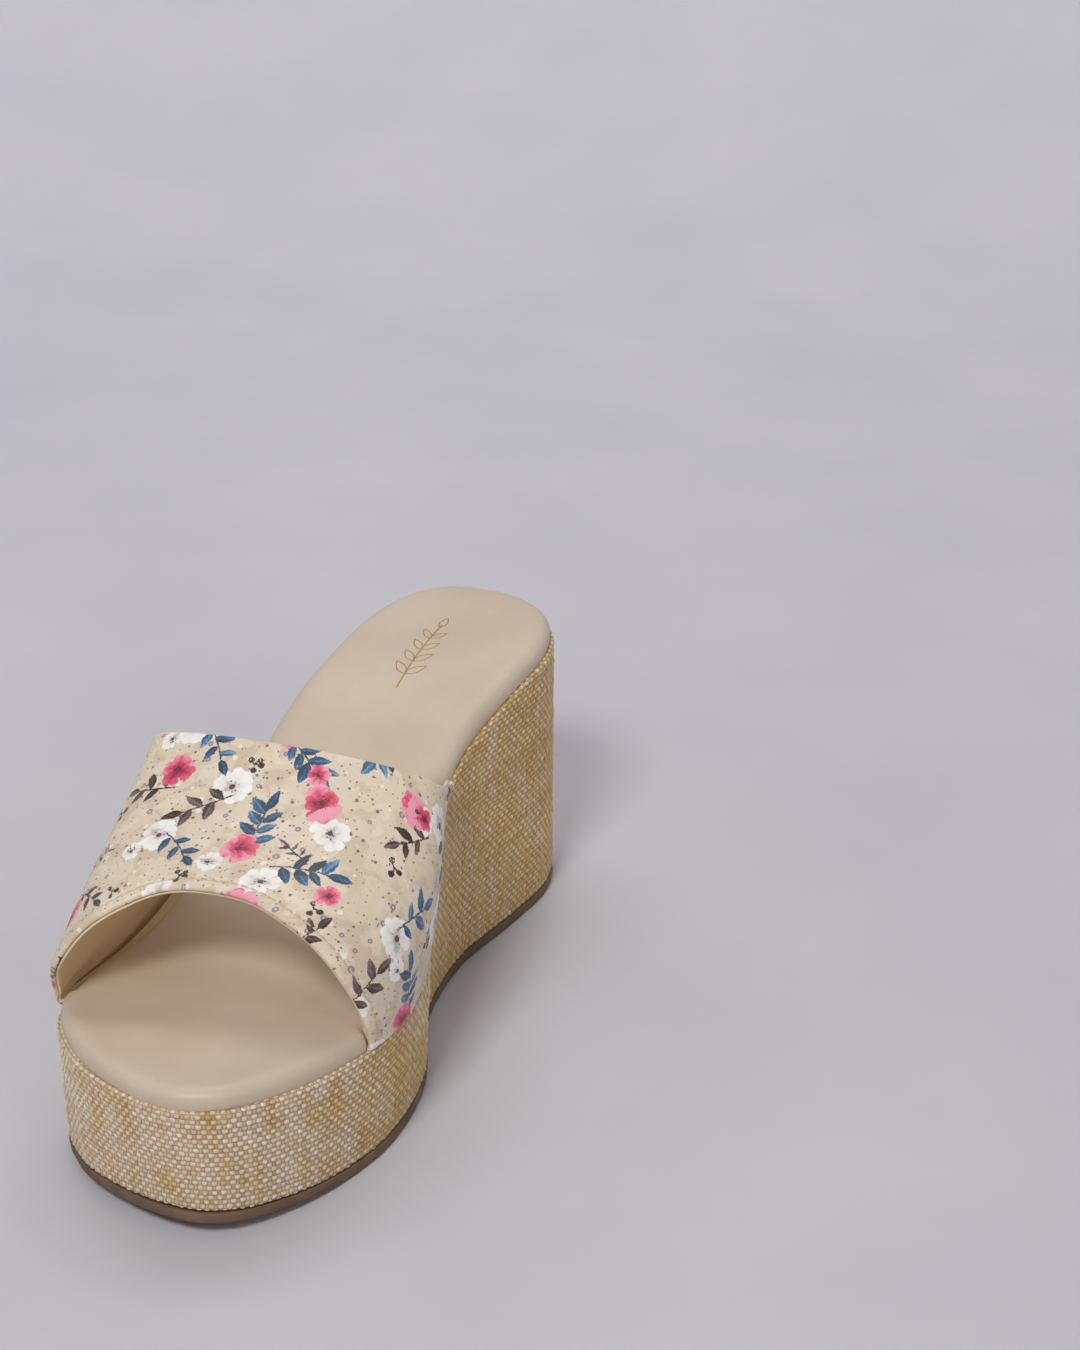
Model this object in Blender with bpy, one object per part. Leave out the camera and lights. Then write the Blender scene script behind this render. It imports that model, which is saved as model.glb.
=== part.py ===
"""Wedge slide sandal for a right foot, as the separate pieces that a factory joins.

Frame: +Z up, toe towards -Y, heel towards +Y, inner (medial) side of the foot at +X.
The origin is the centre of the bounding box, on the ground.

The sandal is laid out in millimetres from its toe tip: "reach" is the distance along the
sole, 0 at the toe and LENGTH at the heel.  A footprint angle of 0 is the toe tip and 180
degrees is the heel, so that both ends of the outline come out round.
"""
import math

import bmesh
import bpy
from mathutils import Vector

MM = 0.001                     # the tables below are in millimetres

# ---------------------------------------------------------------- driving dimensions
LENGTH = 235.0                 # toe tip to heel, along the wedge's top edge
CENTRE_X = -4.9               # sideways middle of the bounding box, from the sole's axis
AXIS_TOE, AXIS_HEEL = 3.2, -3.2

# width of the footprint to each side of its axis, by footprint angle in degrees
INNER_REACH = [(0, 0), (15, 13), (30, 24), (45, 34), (60, 40.3), (75, 38.5), (90, 27),
               (105, 25), (120, 31), (135, 34.5), (150, 29), (165, 16), (180, 0)]
OUTER_REACH = [(0, 0), (15, 17.5), (30, 37), (45, 50.5), (60, 50.5), (75, 44.5), (90, 39.5),
               (105, 37), (120, 32.5), (135, 28.5), (150, 22.5), (165, 13.5), (180, 0)]
# height of the wedge's top edge along the sole
TOP_EDGE = [(-5, 41.5), (0, 41), (23, 39), (47, 37.5), (70, 36.8), (94, 43.6), (117, 53.8),
            (141, 65.9), (164, 76.3), (188, 82.2), (211, 84.6), (235, 84), (240, 83.5)]
TOE_SPRING = 5.0               # how far the sole lifts at the toe tip
SPRING_START = 55.0            # the sole is flat from here back
TAPER_TOE, TAPER_HEEL = 3.2, 1.3   # how far the wall leans in at its foot
UPRIGHT = 3.2                  # less lean than that on the outer side of the toe

OUTSOLE_THICK = 3.5
WRAP_THICK = 1.0
WRAP_MARGIN = 8.0              # fabric turned in over the block's top and bottom
GAP = 0.3                      # clearance between glued neighbours

# insole unit, as heights above the wedge's top edge
COVER_THICK = 0.5
COVER_BOTTOM = 2.25
COVER_MARGIN = 12.0            # cover turned under the board
SQUEEZE = 2.3                  # how far the insole's edge is pressed in beside the strap
BOARD_BOTTOM, BOARD_TOP = 3.05, 4.1
FOAM_BOTTOM = 4.4
CORE_STEP = 1.2                # the block rises inside the turned-in margins
SHANK_BOTTOM, SHANK_THICK = 1.5, 1.1
SHANK_WIDTH, SHANK_FRONT, SHANK_REAR = 12.0, 92.0, 192.0

# strap edges: reach by angle over the foot, 0 at the inner side and 180 at the outer
STRAP_FRONT = [(0, 47), (30, 43), (60, 44), (90, 46.5), (120, 34.5), (150, 29), (180, 38)]
STRAP_REAR = [(0, 141), (30, 113), (60, 101), (90, 97.5), (120, 99), (150, 104), (180, 110)]
STRAP_RISE = [(20, 33), (40, 40), (60, 45.5), (80, 50), (100, 53.5), (120, 55.5), (145, 57)]
STRAP_POWER = 0.77             # below 1 makes the arch boxier than an ellipse
STRAP_SWELL_INNER = [(40, 0), (60, 3.5), (80, 7), (100, 10.5), (130, 15.7)]
STRAP_SWELL_OUTER = [(40, 0), (55, 4.3), (70, 8.5), (85, 11.9), (100, 13.4), (112, 13.2)]
STRAP_BOXY = 0.28              # the outer side climbs more steeply towards the rear
STRAP_OUTSET = 2.4             # the outer wall stands this far outside the wedge edge
STRAP_MARGIN = 12.0            # strap ends tucked in under the insole
STRAP_BEND = 1.8               # radius of the turn from wall to tucked end
SKIVE = 0.6                    # layers are thinned to this share in the tucked ends

# strap layers, as depths below its outer face
UPPER_THICK = 0.7
HEM_TOP, HEM_BOTTOM = 1.0, 1.6
LINING_TOP, LINING_BOTTOM = 1.9, 2.5
HEM_WIDTH, HEM_CLEAR = 7.0, 7.6   # folded-under edge, and where the interlining starts
RIM_OUTER, RIM_INNER = 0.8, 1.2   # where the folded rim's round starts and ends
THREAD_RADIUS = 0.25
THREAD_SETBACK = 3.8           # stitch line behind the front edge

OUTLINE_HALF = 38              # steps from toe to heel along each side


# ---------------------------------------------------------------- curves
def smooth(table, at):
    """Cubic Hermite curve through a table of (position, value) pairs."""
    at = min(max(at, table[0][0]), table[-1][0])
    last = len(table) - 1
    k = 0
    while k < last - 1 and at > table[k + 1][0]:
        k += 1

    def slope(i):
        low, high = max(i - 1, 0), min(i + 1, last)
        return (table[high][1] - table[low][1]) / (table[high][0] - table[low][0])

    (x0, y0), (x1, y1) = table[k], table[k + 1]
    span = x1 - x0
    s = (at - x0) / span
    rise0, rise1 = slope(k) * span, slope(k + 1) * span
    return (y0 * (2 * s**3 - 3 * s**2 + 1) + rise0 * (s**3 - 2 * s**2 + s)
            + y1 * (3 * s**2 - 2 * s**3) + rise1 * (s**3 - s**2))


def ease(s):
    s = min(max(s, 0.0), 1.0)
    return s * s * (3 - 2 * s)


def angle_at(reach):
    share = min(max(reach / LENGTH, 0.0), 1.0)
    return math.degrees(math.acos(1 - 2 * share))


def axis_at(reach):
    return AXIS_TOE + (AXIS_HEEL - AXIS_TOE) * reach / LENGTH


def inner_edge(reach):
    return axis_at(reach) + smooth(INNER_REACH, angle_at(reach))


def outer_edge(reach):
    return axis_at(reach) - smooth(OUTER_REACH, angle_at(reach))


def top_height(reach):
    return smooth(TOP_EDGE, reach)


def ground_height(reach):
    lift = max(SPRING_START - reach, 0.0) / SPRING_START
    return TOE_SPRING * lift * lift


def taper_at(x, reach):
    lean = TAPER_TOE + (TAPER_HEEL - TAPER_TOE) * min(max(reach / LENGTH, 0.0), 1.0)
    return lean - UPRIGHT * ease((axis_at(reach) - x) / 42) * ease((130 - reach) / 60)


def footprint():
    """Outline as (x, reach, inward normal), toe first, then the inner side to the heel."""
    points = []
    for step in range(2 * OUTLINE_HALF):
        turn = 180.0 * step / OUTLINE_HALF
        if step <= OUTLINE_HALF:
            reach = LENGTH / 2 * (1 - math.cos(math.radians(turn)))
            x = axis_at(reach) + smooth(INNER_REACH, turn)
        else:
            reach = LENGTH / 2 * (1 - math.cos(math.radians(360 - turn)))
            x = axis_at(reach) - smooth(OUTER_REACH, 360 - turn)
        points.append(Vector((x, reach)))
    count = len(points)
    outline = []
    for i, point in enumerate(points):
        along = (points[(i + 1) % count] - points[i - 1]).normalized()
        outline.append((point, Vector((-along.y, along.x))))
    return outline


OUTLINE = footprint()


def inset(distance):
    """The outline moved inwards; distance is a number or a function of (x, reach)."""
    moved = []
    for point, inward in OUTLINE:
        d = distance(point.x, point.y) if callable(distance) else distance
        moved.append(point + inward * d)
    return moved


def ring(distance, height):
    """One closed ring of 3-D points; height is a function of (x, reach)."""
    return [(p.x, p.y, height(p.x, p.y)) for p in inset(distance)]


def to_part(point):
    return Vector(((point[0] - CENTRE_X) * MM, (point[1] - LENGTH / 2) * MM, point[2] * MM))


# ---------------------------------------------------------------- mesh builders
def paint(name, colour, roughness, metallic=0.0):
    material = bpy.data.materials.new(name)
    material.use_nodes = True
    shader = material.node_tree.nodes["Principled BSDF"]
    shader.inputs["Base Color"].default_value = (*colour, 1.0)
    shader.inputs["Roughness"].default_value = roughness
    shader.inputs["Metallic"].default_value = metallic
    return material


def finish(mesh_data, name, material, sharp_degrees=40):
    bmesh.ops.recalc_face_normals(mesh_data, faces=mesh_data.faces)
    mesh = bpy.data.meshes.new(name)
    mesh_data.to_mesh(mesh)
    mesh_data.free()
    mesh.shade_smooth()
    mesh.set_sharp_from_angle(angle=math.radians(sharp_degrees))
    mesh.materials.append(material)
    item = bpy.data.objects.new(name, mesh)
    bpy.context.scene.collection.objects.link(item)
    return item


def add_rings(mesh_data, rings):
    """Vertices for a list of rings, with quads between each ring and the next."""
    rows = [[mesh_data.verts.new(to_part(p)) for p in one] for one in rings]
    for low, high in zip(rows, rows[1:]):
        join_rows(mesh_data, low, high)
    return rows


def join_rows(mesh_data, low, high):
    count = len(low)
    for i in range(count):
        j = (i + 1) % count
        mesh_data.faces.new((low[i], low[j], high[j], high[i]))


def cap_across(mesh_data, row):
    """Close a ring with strips from its inner side straight across to its outer side."""
    count = len(row)
    half = count // 2
    mesh_data.faces.new((row[0], row[1], row[count - 1]))
    for i in range(1, half - 1):
        mesh_data.faces.new((row[i], row[i + 1], row[count - i - 1], row[count - i]))
    mesh_data.faces.new((row[half - 1], row[half], row[half + 1]))


def slab(name, rings, material, sharp_degrees=40):
    """A closed body: rings from the bottom face, round the edge, to the top face."""
    mesh_data = bmesh.new()
    rows = add_rings(mesh_data, rings)
    cap_across(mesh_data, rows[0])
    cap_across(mesh_data, rows[-1])
    return finish(mesh_data, name, material, sharp_degrees)


def band(name, rings, material, sharp_degrees=40):
    """A closed body whose section is a loop of rings, open in the middle."""
    mesh_data = bmesh.new()
    rows = add_rings(mesh_data, rings)
    join_rows(mesh_data, rows[-1], rows[0])
    return finish(mesh_data, name, material, sharp_degrees)


def above_edge(rise):
    return lambda x, reach: top_height(reach) + rise


def above_ground(rise):
    return lambda x, reach: ground_height(reach) + rise


def leaning(extra):
    return lambda x, reach: taper_at(x, reach) + extra


# ---------------------------------------------------------------- sole
def make_outsole(material):
    edge = 0.6
    rings = [ring(leaning(edge), above_ground(0)), ring(leaning(0), above_ground(edge)),
             ring(leaning(0), above_ground(OUTSOLE_THICK - edge)),
             ring(leaning(edge), above_ground(OUTSOLE_THICK))]
    sole = slab("outsole", rings, material)
    return sole


def make_core(material):
    wall = WRAP_THICK + GAP
    low = OUTSOLE_THICK + GAP
    margin = WRAP_MARGIN + 1.5
    rings = [ring(leaning(margin), above_ground(low)),
             ring(leaning(margin), above_ground(low + wall)),
             ring(leaning(wall), above_ground(low + wall)),
             ring(wall, above_edge(-wall)),
             ring(STRAP_MARGIN + 0.6, above_edge(-wall)),
             ring(STRAP_MARGIN + 0.6, above_edge(CORE_STEP))]
    return slab("wedge_core", rings, material)


def make_wrap(material):
    low = OUTSOLE_THICK + GAP
    thick = WRAP_THICK
    rings = [ring(WRAP_MARGIN, above_edge(0)), ring(1.0, above_edge(0)),
             ring(0.3, above_edge(-0.3)), ring(0, above_edge(-1.0)),
             ring(leaning(0), above_ground(low + 1.0)), ring(leaning(0.3), above_ground(low + 0.3)),
             ring(leaning(1.0), above_ground(low)), ring(leaning(WRAP_MARGIN), above_ground(low)),
             ring(leaning(WRAP_MARGIN), above_ground(low + thick)),
             ring(leaning(thick), above_ground(low + thick)), ring(thick, above_edge(-thick)),
             ring(WRAP_MARGIN, above_edge(-thick))]
    return band("wedge_wrap", rings, material)


# ---------------------------------------------------------------- insole
def strap_zone(x, reach):
    """1 where the strap's ends come up past the insole's edge, 0 clear of them."""
    blend = 4.5
    ends = (STRAP_FRONT[0][1], STRAP_REAR[0][1]) if x > axis_at(reach) else \
           (STRAP_FRONT[-1][1], STRAP_REAR[-1][1])
    return ease((reach - ends[0] + blend) / blend) * ease((ends[1] + blend - reach) / blend)


def insole_ring(distance, rise, rise_at_strap=None):
    """A ring of the insole, pressed in beside the strap, where its rise may differ too."""
    def along(x, reach):
        return distance + SQUEEZE * strap_zone(x, reach) * (1 - ease(distance / 30.0))

    if rise_at_strap is None:
        rise_at_strap = rise
    points = []
    for (point, inward) in OUTLINE:
        zone = strap_zone(point.x, point.y)
        p = point + inward * along(point.x, point.y)
        height = top_height(p.y) + rise + (rise_at_strap - rise) * zone
        points.append((p.x, p.y, height))
    return points


def make_board(material):
    rings = [insole_ring(2.4, BOARD_BOTTOM), insole_ring(2.4, BOARD_TOP)]
    return slab("insole_board", rings, material)


def make_foam(material):
    profile = [(2.5, FOAM_BOTTOM), (2.6, 4.75), (3.7, 5.45), (5.5, 5.95), (8.5, 5.85),
               (13, 5.6), (18, 5.4)]
    rings = [insole_ring(d, rise) for d, rise in profile]
    return slab("insole_foam", rings, material)


def make_cover(material):
    outside = [(COVER_MARGIN, COVER_BOTTOM, COVER_BOTTOM), (3.6, COVER_BOTTOM, COVER_BOTTOM),
               (1.9, 0.6, COVER_BOTTOM), (1.3, 1.2, 2.5), (1.15, 2.6, 3.0), (1.25, 4.0, 4.0),
               (1.85, 5.3, 5.3), (3.1, 6.3, 6.3), (5.1, 6.8, 6.8), (8.5, 6.7, 6.7),
               (13, 6.45, 6.45), (18, 6.25, 6.25)]
    fold_top = COVER_BOTTOM + COVER_THICK
    inside = [(18, 5.75, 5.75), (13, 5.95, 5.95), (8.5, 6.2, 6.2), (5.2, 6.3, 6.3),
              (3.4, 5.83, 5.83), (2.3, 4.98, 4.98), (1.75, 3.85, 3.85), (1.65, 2.75, 3.3),
              (1.75, 1.5, 2.95), (2.2, 1.25, fold_top), (3.6, fold_top, fold_top),
              (COVER_MARGIN, fold_top, fold_top)]
    outer_rings = [insole_ring(*row) for row in outside]
    inner_rings = [insole_ring(*row) for row in inside]
    mesh_data = bmesh.new()
    outer_rows = add_rings(mesh_data, outer_rings)
    inner_rows = add_rings(mesh_data, inner_rings)
    join_rows(mesh_data, inner_rows[-1], outer_rows[0])
    cap_across(mesh_data, outer_rows[-1])
    cap_across(mesh_data, inner_rows[0])
    return finish(mesh_data, "insole_cover", material)


def make_shank(material):
    """A steel strip with rounded ends that follows the wedge's top."""
    steps = 16
    half = SHANK_WIDTH / 2
    mesh_data = bmesh.new()
    rows = []
    for i in range(steps + 1):
        reach = SHANK_FRONT + (SHANK_REAR - SHANK_FRONT) * i / steps
        from_end = min(reach - SHANK_FRONT, SHANK_REAR - reach)
        width = half if from_end >= half else half * (0.45 + 0.55 * math.sin(
            math.acos(1 - from_end / half)))
        base = top_height(reach) + SHANK_BOTTOM
        middle = (inner_edge(reach) + outer_edge(reach)) / 2
        section = [(middle - width, reach, base), (middle + width, reach, base),
                   (middle + width, reach, base + SHANK_THICK),
                   (middle - width, reach, base + SHANK_THICK)]
        rows.append([mesh_data.verts.new(to_part(p)) for p in section])
    for low, high in zip(rows, rows[1:]):
        join_rows(mesh_data, low, high)
    mesh_data.faces.new(rows[0])
    mesh_data.faces.new(rows[-1])
    return finish(mesh_data, "shank", material)


# ---------------------------------------------------------------- strap
def strap_point(turn, share):
    """Outer face of the strap; turn is the angle over the foot, share runs front to rear."""
    front = smooth(STRAP_FRONT, turn)
    reach = front + (smooth(STRAP_REAR, turn) - front) * share
    inner = inner_edge(reach)
    outer = outer_edge(reach) - STRAP_OUTSET
    middle = (inner + outer) / 2 - 1.8
    angle = math.radians(turn)
    boxy = STRAP_BOXY * min(max((reach - 40) / 60, 0.0), 1.2) if turn > 90 else 0.0
    power = STRAP_POWER - 0.55 * boxy * math.sin(2 * angle) ** 2
    over = math.copysign(abs(math.cos(angle)) ** power, math.cos(angle))
    half = inner - middle if over > 0 else middle - outer
    swell = STRAP_SWELL_INNER if over > 0 else STRAP_SWELL_OUTER
    widen = smooth(swell, reach) * math.sin(2 * angle)
    rise = smooth(STRAP_RISE, reach) * math.sin(angle) ** (STRAP_POWER - boxy)
    height = top_height(reach) + rise
    return Vector((middle + half * over + widen, reach, height))


def tucked_points(turn, share):
    """From the tucked end to the wall: flat under the insole, then a quarter bend up."""
    wall = strap_point(1.4 if turn < 90 else 178.6, share)
    reach = wall.y
    edge = inner_edge if turn < 90 else outer_edge
    slope = (edge(reach + 1) - edge(reach - 1)) / 2
    inward = Vector((-1, slope)) if turn < 90 else Vector((1, -slope))
    inward.normalize()
    foot = Vector((wall.x, wall.y))
    points = []
    for distance in (STRAP_MARGIN, 9.5, 7.0, 4.5):
        flat = foot + inward * distance
        points.append(Vector((flat.x, flat.y, top_height(flat.y) + GAP)))
    for degrees in (0, 30, 60):
        bend = math.radians(degrees)
        flat = foot + inward * (STRAP_BEND * (1 - math.sin(bend)))
        rise = GAP + STRAP_BEND * (1 - math.cos(bend))
        points.append(Vector((flat.x, flat.y, top_height(flat.y) + rise)))
    return points


STRAP_TURNS = [1.4, 3, 6] + list(range(10, 171, 8)) + [174, 177, 178.6]
STRAP_SHARES = 12
ACROSS_SHARES = [0.16 + 0.085 * k for k in range(9)]
TUCKED_POINTS = 7


def strap_lines():
    """The strap's outer face as lines from one tucked end to the other, front to rear."""
    lines = []
    for i in range(STRAP_SHARES + 1):
        share = i / STRAP_SHARES
        line = tucked_points(0, share)
        line += [strap_point(turn, share) for turn in STRAP_TURNS]
        line += reversed(tucked_points(180, share))
        lines.append(line)
    return lines


def strap_sections():
    """For every station over the foot: its points and inward normals, front to rear."""
    lines = strap_lines()
    stations = len(lines[0])
    sections = []
    for j in range(stations):
        before, after = max(j - 1, 0), min(j + 1, stations - 1)
        column = [lines[i][j] for i in range(STRAP_SHARES + 1)]
        normals = []
        for i in range(STRAP_SHARES + 1):
            over = lines[i][after] - lines[i][before]
            back = lines[min(i + 1, STRAP_SHARES)][j] - lines[max(i - 1, 0)][j]
            normals.append(over.cross(back).normalized())
        from_end = min(j, stations - 1 - j)
        skive = SKIVE + (1 - SKIVE) * ease((from_end - TUCKED_POINTS) / 2.0)
        sections.append((column, normals, skive))
    return sections


def section_width(section):
    column = section[0]
    return sum((b - a).length for a, b in zip(column, column[1:]))


def at_distance(section, distance, depth):
    """The point at a distance behind the front edge, at a depth below the outer face."""
    column, normals, skive = section
    left = distance
    for i in range(len(column) - 1):
        step = (column[i + 1] - column[i]).length
        if left <= step or i == len(column) - 2:
            share = min(left / step, 1.0)
            normal = normals[i].lerp(normals[i + 1], share).normalized()
            return column[i].lerp(column[i + 1], share) + normal * depth * skive
        left -= step
    return None


def across(section, setback, depth):
    """(distance, depth) pairs across the strap at one depth, kept back from both edges."""
    width = section_width(section)
    near_edge = [d for d in (RIM_OUTER, RIM_INNER, HEM_WIDTH, HEM_CLEAR) if d >= setback]
    distances = near_edge + [width * share for share in ACROSS_SHARES]
    distances += [width - d for d in reversed(near_edge)]
    return [(d, depth) for d in distances]


def sweep_strap(name, ring_of, caps, material, sections):
    """Sweep a closed ring over the foot; caps lists the faces that close its two ends.

    The layers lie close together, so every quad is cut along the same diagonal of the
    strap: from the point nearer the front edge to the point nearer the rear edge.
    """
    mesh_data = bmesh.new()
    rings = [ring_of(section) for section in sections]
    rows = []
    for section, pairs in zip(sections, rings):
        points = [at_distance(section, distance, depth) for distance, depth in pairs]
        rows.append([mesh_data.verts.new(to_part(p)) for p in points])
    count = len(rows[0])
    for low, high, pairs in zip(rows, rows[1:], rings):
        for i in range(count):
            j = (i + 1) % count
            if pairs[i][0] <= pairs[j][0]:
                mesh_data.faces.new((low[i], low[j], high[j]))
                mesh_data.faces.new((low[i], high[j], high[i]))
            else:
                mesh_data.faces.new((low[i], low[j], high[i]))
                mesh_data.faces.new((low[j], high[j], high[i]))
    for row in (rows[0], rows[-1]):
        for corners in caps:
            mesh_data.faces.new([row[i] for i in corners])
    return finish(mesh_data, name, material, 60)


def facing_pairs(count, total):
    """Quads between a ring's first count points and the points that face them."""
    return [(i, i + 1, total - 2 - i, total - 1 - i) for i in range(count - 1)]


def make_flat_layer(name, setback, top, bottom, material, sections):
    def ring_of(section):
        return across(section, setback, top) + across(section, setback, bottom)[::-1]

    total = len(ring_of(sections[0]))
    return sweep_strap(name, ring_of, facing_pairs(total // 2, total), material, sections)


def make_upper(material):
    """Printed face with both edges folded under as hems."""
    fold = [(0.2, 0.25), (0.0, 0.8), (0.2, 1.35), (RIM_OUTER, HEM_BOTTOM),
            (HEM_WIDTH, HEM_BOTTOM), (HEM_WIDTH, HEM_TOP), (RIM_INNER, HEM_TOP)]

    def ring_of(section):
        width = section_width(section)
        rear = [(width - d, depth) for d, depth in fold]
        front = fold[::-1]
        face = across(section, RIM_INNER, 0.0)
        back = across(section, RIM_INNER, UPPER_THICK)[::-1]
        return face + rear + back + front

    faces_across = len(across(STRAP_SECTIONS[0], RIM_INNER, 0.0))
    folded = len(fold)
    total = 2 * (faces_across + folded)
    last = faces_across - 1
    caps = [(i, i + 1, total - folded - 2 - i, total - folded - 1 - i) for i in range(last)]
    rear_bend = [last, last + 1, last + 2, last + 3, last + 4, last + folded, last + folded + 1]
    rear_hem = [last + 4, last + 5, last + 6, last + 7]
    front_bend = [total - 1, total - 2, total - 3, total - 4, total - 7, total - folded - 1, 0]
    front_hem = [total - 7, total - 6, total - 5, total - 4]
    caps += [rear_bend, rear_hem, front_bend, front_hem]
    return sweep_strap("strap_upper", ring_of, caps, material, STRAP_SECTIONS)


STRAP_SECTIONS = strap_sections()
WALL_SECTIONS = STRAP_SECTIONS[TUCKED_POINTS:-TUCKED_POINTS]


def make_thread(material):
    """Stitching along the strap's front edge, from one tucked end's bend to the other."""
    path = []
    for section in WALL_SECTIONS:
        path.append(at_distance(section, THREAD_SETBACK, -(THREAD_RADIUS + 0.2)))
    curve = bpy.data.curves.new("front_edge_thread_line", "CURVE")
    curve.dimensions = "3D"
    curve.bevel_depth = THREAD_RADIUS * MM
    curve.bevel_resolution = 1
    curve.use_fill_caps = True
    spline = curve.splines.new("POLY")
    spline.points.add(len(path) - 1)
    for knot, point in zip(spline.points, path):
        knot.co = (*to_part(point), 1.0)
    curve.materials.append(material)
    item = bpy.data.objects.new("front_edge_thread", curve)
    bpy.context.scene.collection.objects.link(item)
    return item


# ---------------------------------------------------------------- build
def main():
    for old in list(bpy.data.objects):
        bpy.data.objects.remove(old, do_unlink=True)

    rubber = paint("outsole_rubber", (0.24, 0.17, 0.12), 0.8)
    block = paint("core_eva", (0.62, 0.50, 0.36), 0.9)
    weave = paint("raffia_weave", (0.60, 0.43, 0.22), 0.5)
    board = paint("fibreboard", (0.36, 0.27, 0.18), 0.85)
    steel = paint("shank_steel", (0.45, 0.45, 0.46), 0.35, 1.0)
    foam = paint("insole_foam", (0.82, 0.78, 0.68), 0.95)
    cover = paint("nude_pu", (0.61, 0.50, 0.38), 0.45)
    print_pu = paint("printed_pu", (0.72, 0.62, 0.46), 0.35)
    stiffener = paint("interlining", (0.80, 0.80, 0.78), 0.95)
    lining = paint("tan_lining", (0.54, 0.38, 0.15), 0.5)
    thread = paint("tan_thread", (0.45, 0.34, 0.2), 0.7)

    make_outsole(rubber)
    make_core(block)
    make_wrap(weave)
    make_board(board)
    make_shank(steel)
    make_foam(foam)
    make_cover(cover)
    make_upper(print_pu)
    make_flat_layer("strap_interlining", HEM_CLEAR, HEM_TOP, HEM_BOTTOM, stiffener, WALL_SECTIONS)
    make_flat_layer("strap_lining", RIM_OUTER, LINING_TOP, LINING_BOTTOM, lining, STRAP_SECTIONS)
    make_thread(thread)


main()
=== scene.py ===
"""Looks of a wedge slide sandal: woven wrap, printed strap, padded insole, treaded sole.

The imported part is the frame, in metres.  The shapes below are laid out in millimetres, as in
the part: "reach" runs along the sole from the toe tip (0) to the heel (LENGTH), x is sideways
and positive on the inner side of the foot, and "turn" is the angle over the foot in degrees,
0 where the strap meets the wedge on the inner side and 180 on the outer side.
"""

import math

import bmesh
import bpy
import numpy as np
from mathutils import Matrix, Vector


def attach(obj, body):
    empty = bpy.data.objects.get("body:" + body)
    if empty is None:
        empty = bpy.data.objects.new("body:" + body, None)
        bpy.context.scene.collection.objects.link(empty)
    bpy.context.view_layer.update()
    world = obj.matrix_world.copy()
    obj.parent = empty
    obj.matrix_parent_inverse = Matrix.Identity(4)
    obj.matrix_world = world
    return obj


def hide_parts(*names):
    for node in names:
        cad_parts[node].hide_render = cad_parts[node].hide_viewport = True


MM = 0.001

# ---------------------------------------------------------------- sizes shared with the part
LENGTH = 235.0
CENTRE_X = -4.9
AXIS_TOE, AXIS_HEEL = 3.2, -3.2
INNER_REACH = [(0, 0), (15, 13), (30, 24), (45, 34), (60, 40.3), (75, 38.5), (90, 27),
               (105, 25), (120, 31), (135, 34.5), (150, 29), (165, 16), (180, 0)]
OUTER_REACH = [(0, 0), (15, 17.5), (30, 37), (45, 50.5), (60, 50.5), (75, 44.5), (90, 39.5),
               (105, 37), (120, 32.5), (135, 28.5), (150, 22.5), (165, 13.5), (180, 0)]
TOP_EDGE = [(-5, 41.5), (0, 41), (23, 39), (47, 37.5), (70, 36.8), (94, 43.6), (117, 53.8),
            (141, 65.9), (164, 76.3), (188, 82.2), (211, 84.6), (235, 84), (240, 83.5)]
TOE_SPRING = 5.0
SPRING_START = 55.0
TAPER_TOE, TAPER_HEEL = 3.2, 1.3
UPRIGHT = 3.2
OUTSOLE_THICK = 3.5
GAP = 0.3

STRAP_FRONT = [(0, 47), (30, 43), (60, 44), (90, 46.5), (120, 34.5), (150, 29), (180, 38)]
STRAP_REAR = [(0, 141), (30, 113), (60, 101), (90, 97.5), (120, 99), (150, 104), (180, 110)]
STRAP_RISE = [(20, 33), (40, 40), (60, 45.5), (80, 50), (100, 53.5), (120, 55.5), (145, 57)]
STRAP_POWER = 0.77
STRAP_SWELL_INNER = [(40, 0), (60, 3.5), (80, 7), (100, 10.5), (130, 15.7)]
STRAP_SWELL_OUTER = [(40, 0), (55, 4.3), (70, 8.5), (85, 11.9), (100, 13.4), (112, 13.2)]
STRAP_BOXY = 0.28
STRAP_OUTSET = 2.4
STRAP_BEND = 1.8
STRAP_ENDS = (1.4, 178.6)                 # turns where the strap reaches the insole
SKIVE = 0.6
LINING_BOTTOM = 2.5
THREAD_SETBACK = 3.8

# ---------------------------------------------------------------- sizes of the finish
SIDE_POINTS = 300                         # points along each side of a smooth outline
WELD_METRES = 2e-6

STRAND_ACROSS, STRAND_UP = 1.47, 1.6      # width of the upright and of the level straws
STRAND_BULGE = 0.17                       # how far a level straw spreads past its own place
STRAND_SAMPLES = np.array([0.0, 0.2, 0.5, 0.8])   # points across a straw, as shares of it
HALF_GIRTH = 300.0
WEAVE_RELIEF = 0.46
FOLD_RADIUS, FOOT_RADIUS = 1.0, 0.7       # the wrap's turns at its top and at its foot
FOOT_ROWS = [-2.2, -1.5, -1.0, -0.7, -0.4, -0.2]
FOLD_ROWS = [0.25, 0.5, 0.8, 1.1, 1.4, 1.7, 2.1, 2.5, 3.0, 3.6, 4.3, 5.0]
FOLDED_IN = 9.0                           # cloth past the wall, when panels share out the work
ROW_SHIFT, ROW_DRAWS = 4, 90              # straw rows below the foot, and random lifts drawn
PANELS = ["wrap_toe_inner", "wrap_heel_inner", "wrap_heel_outer", "wrap_toe_outer"]

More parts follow.
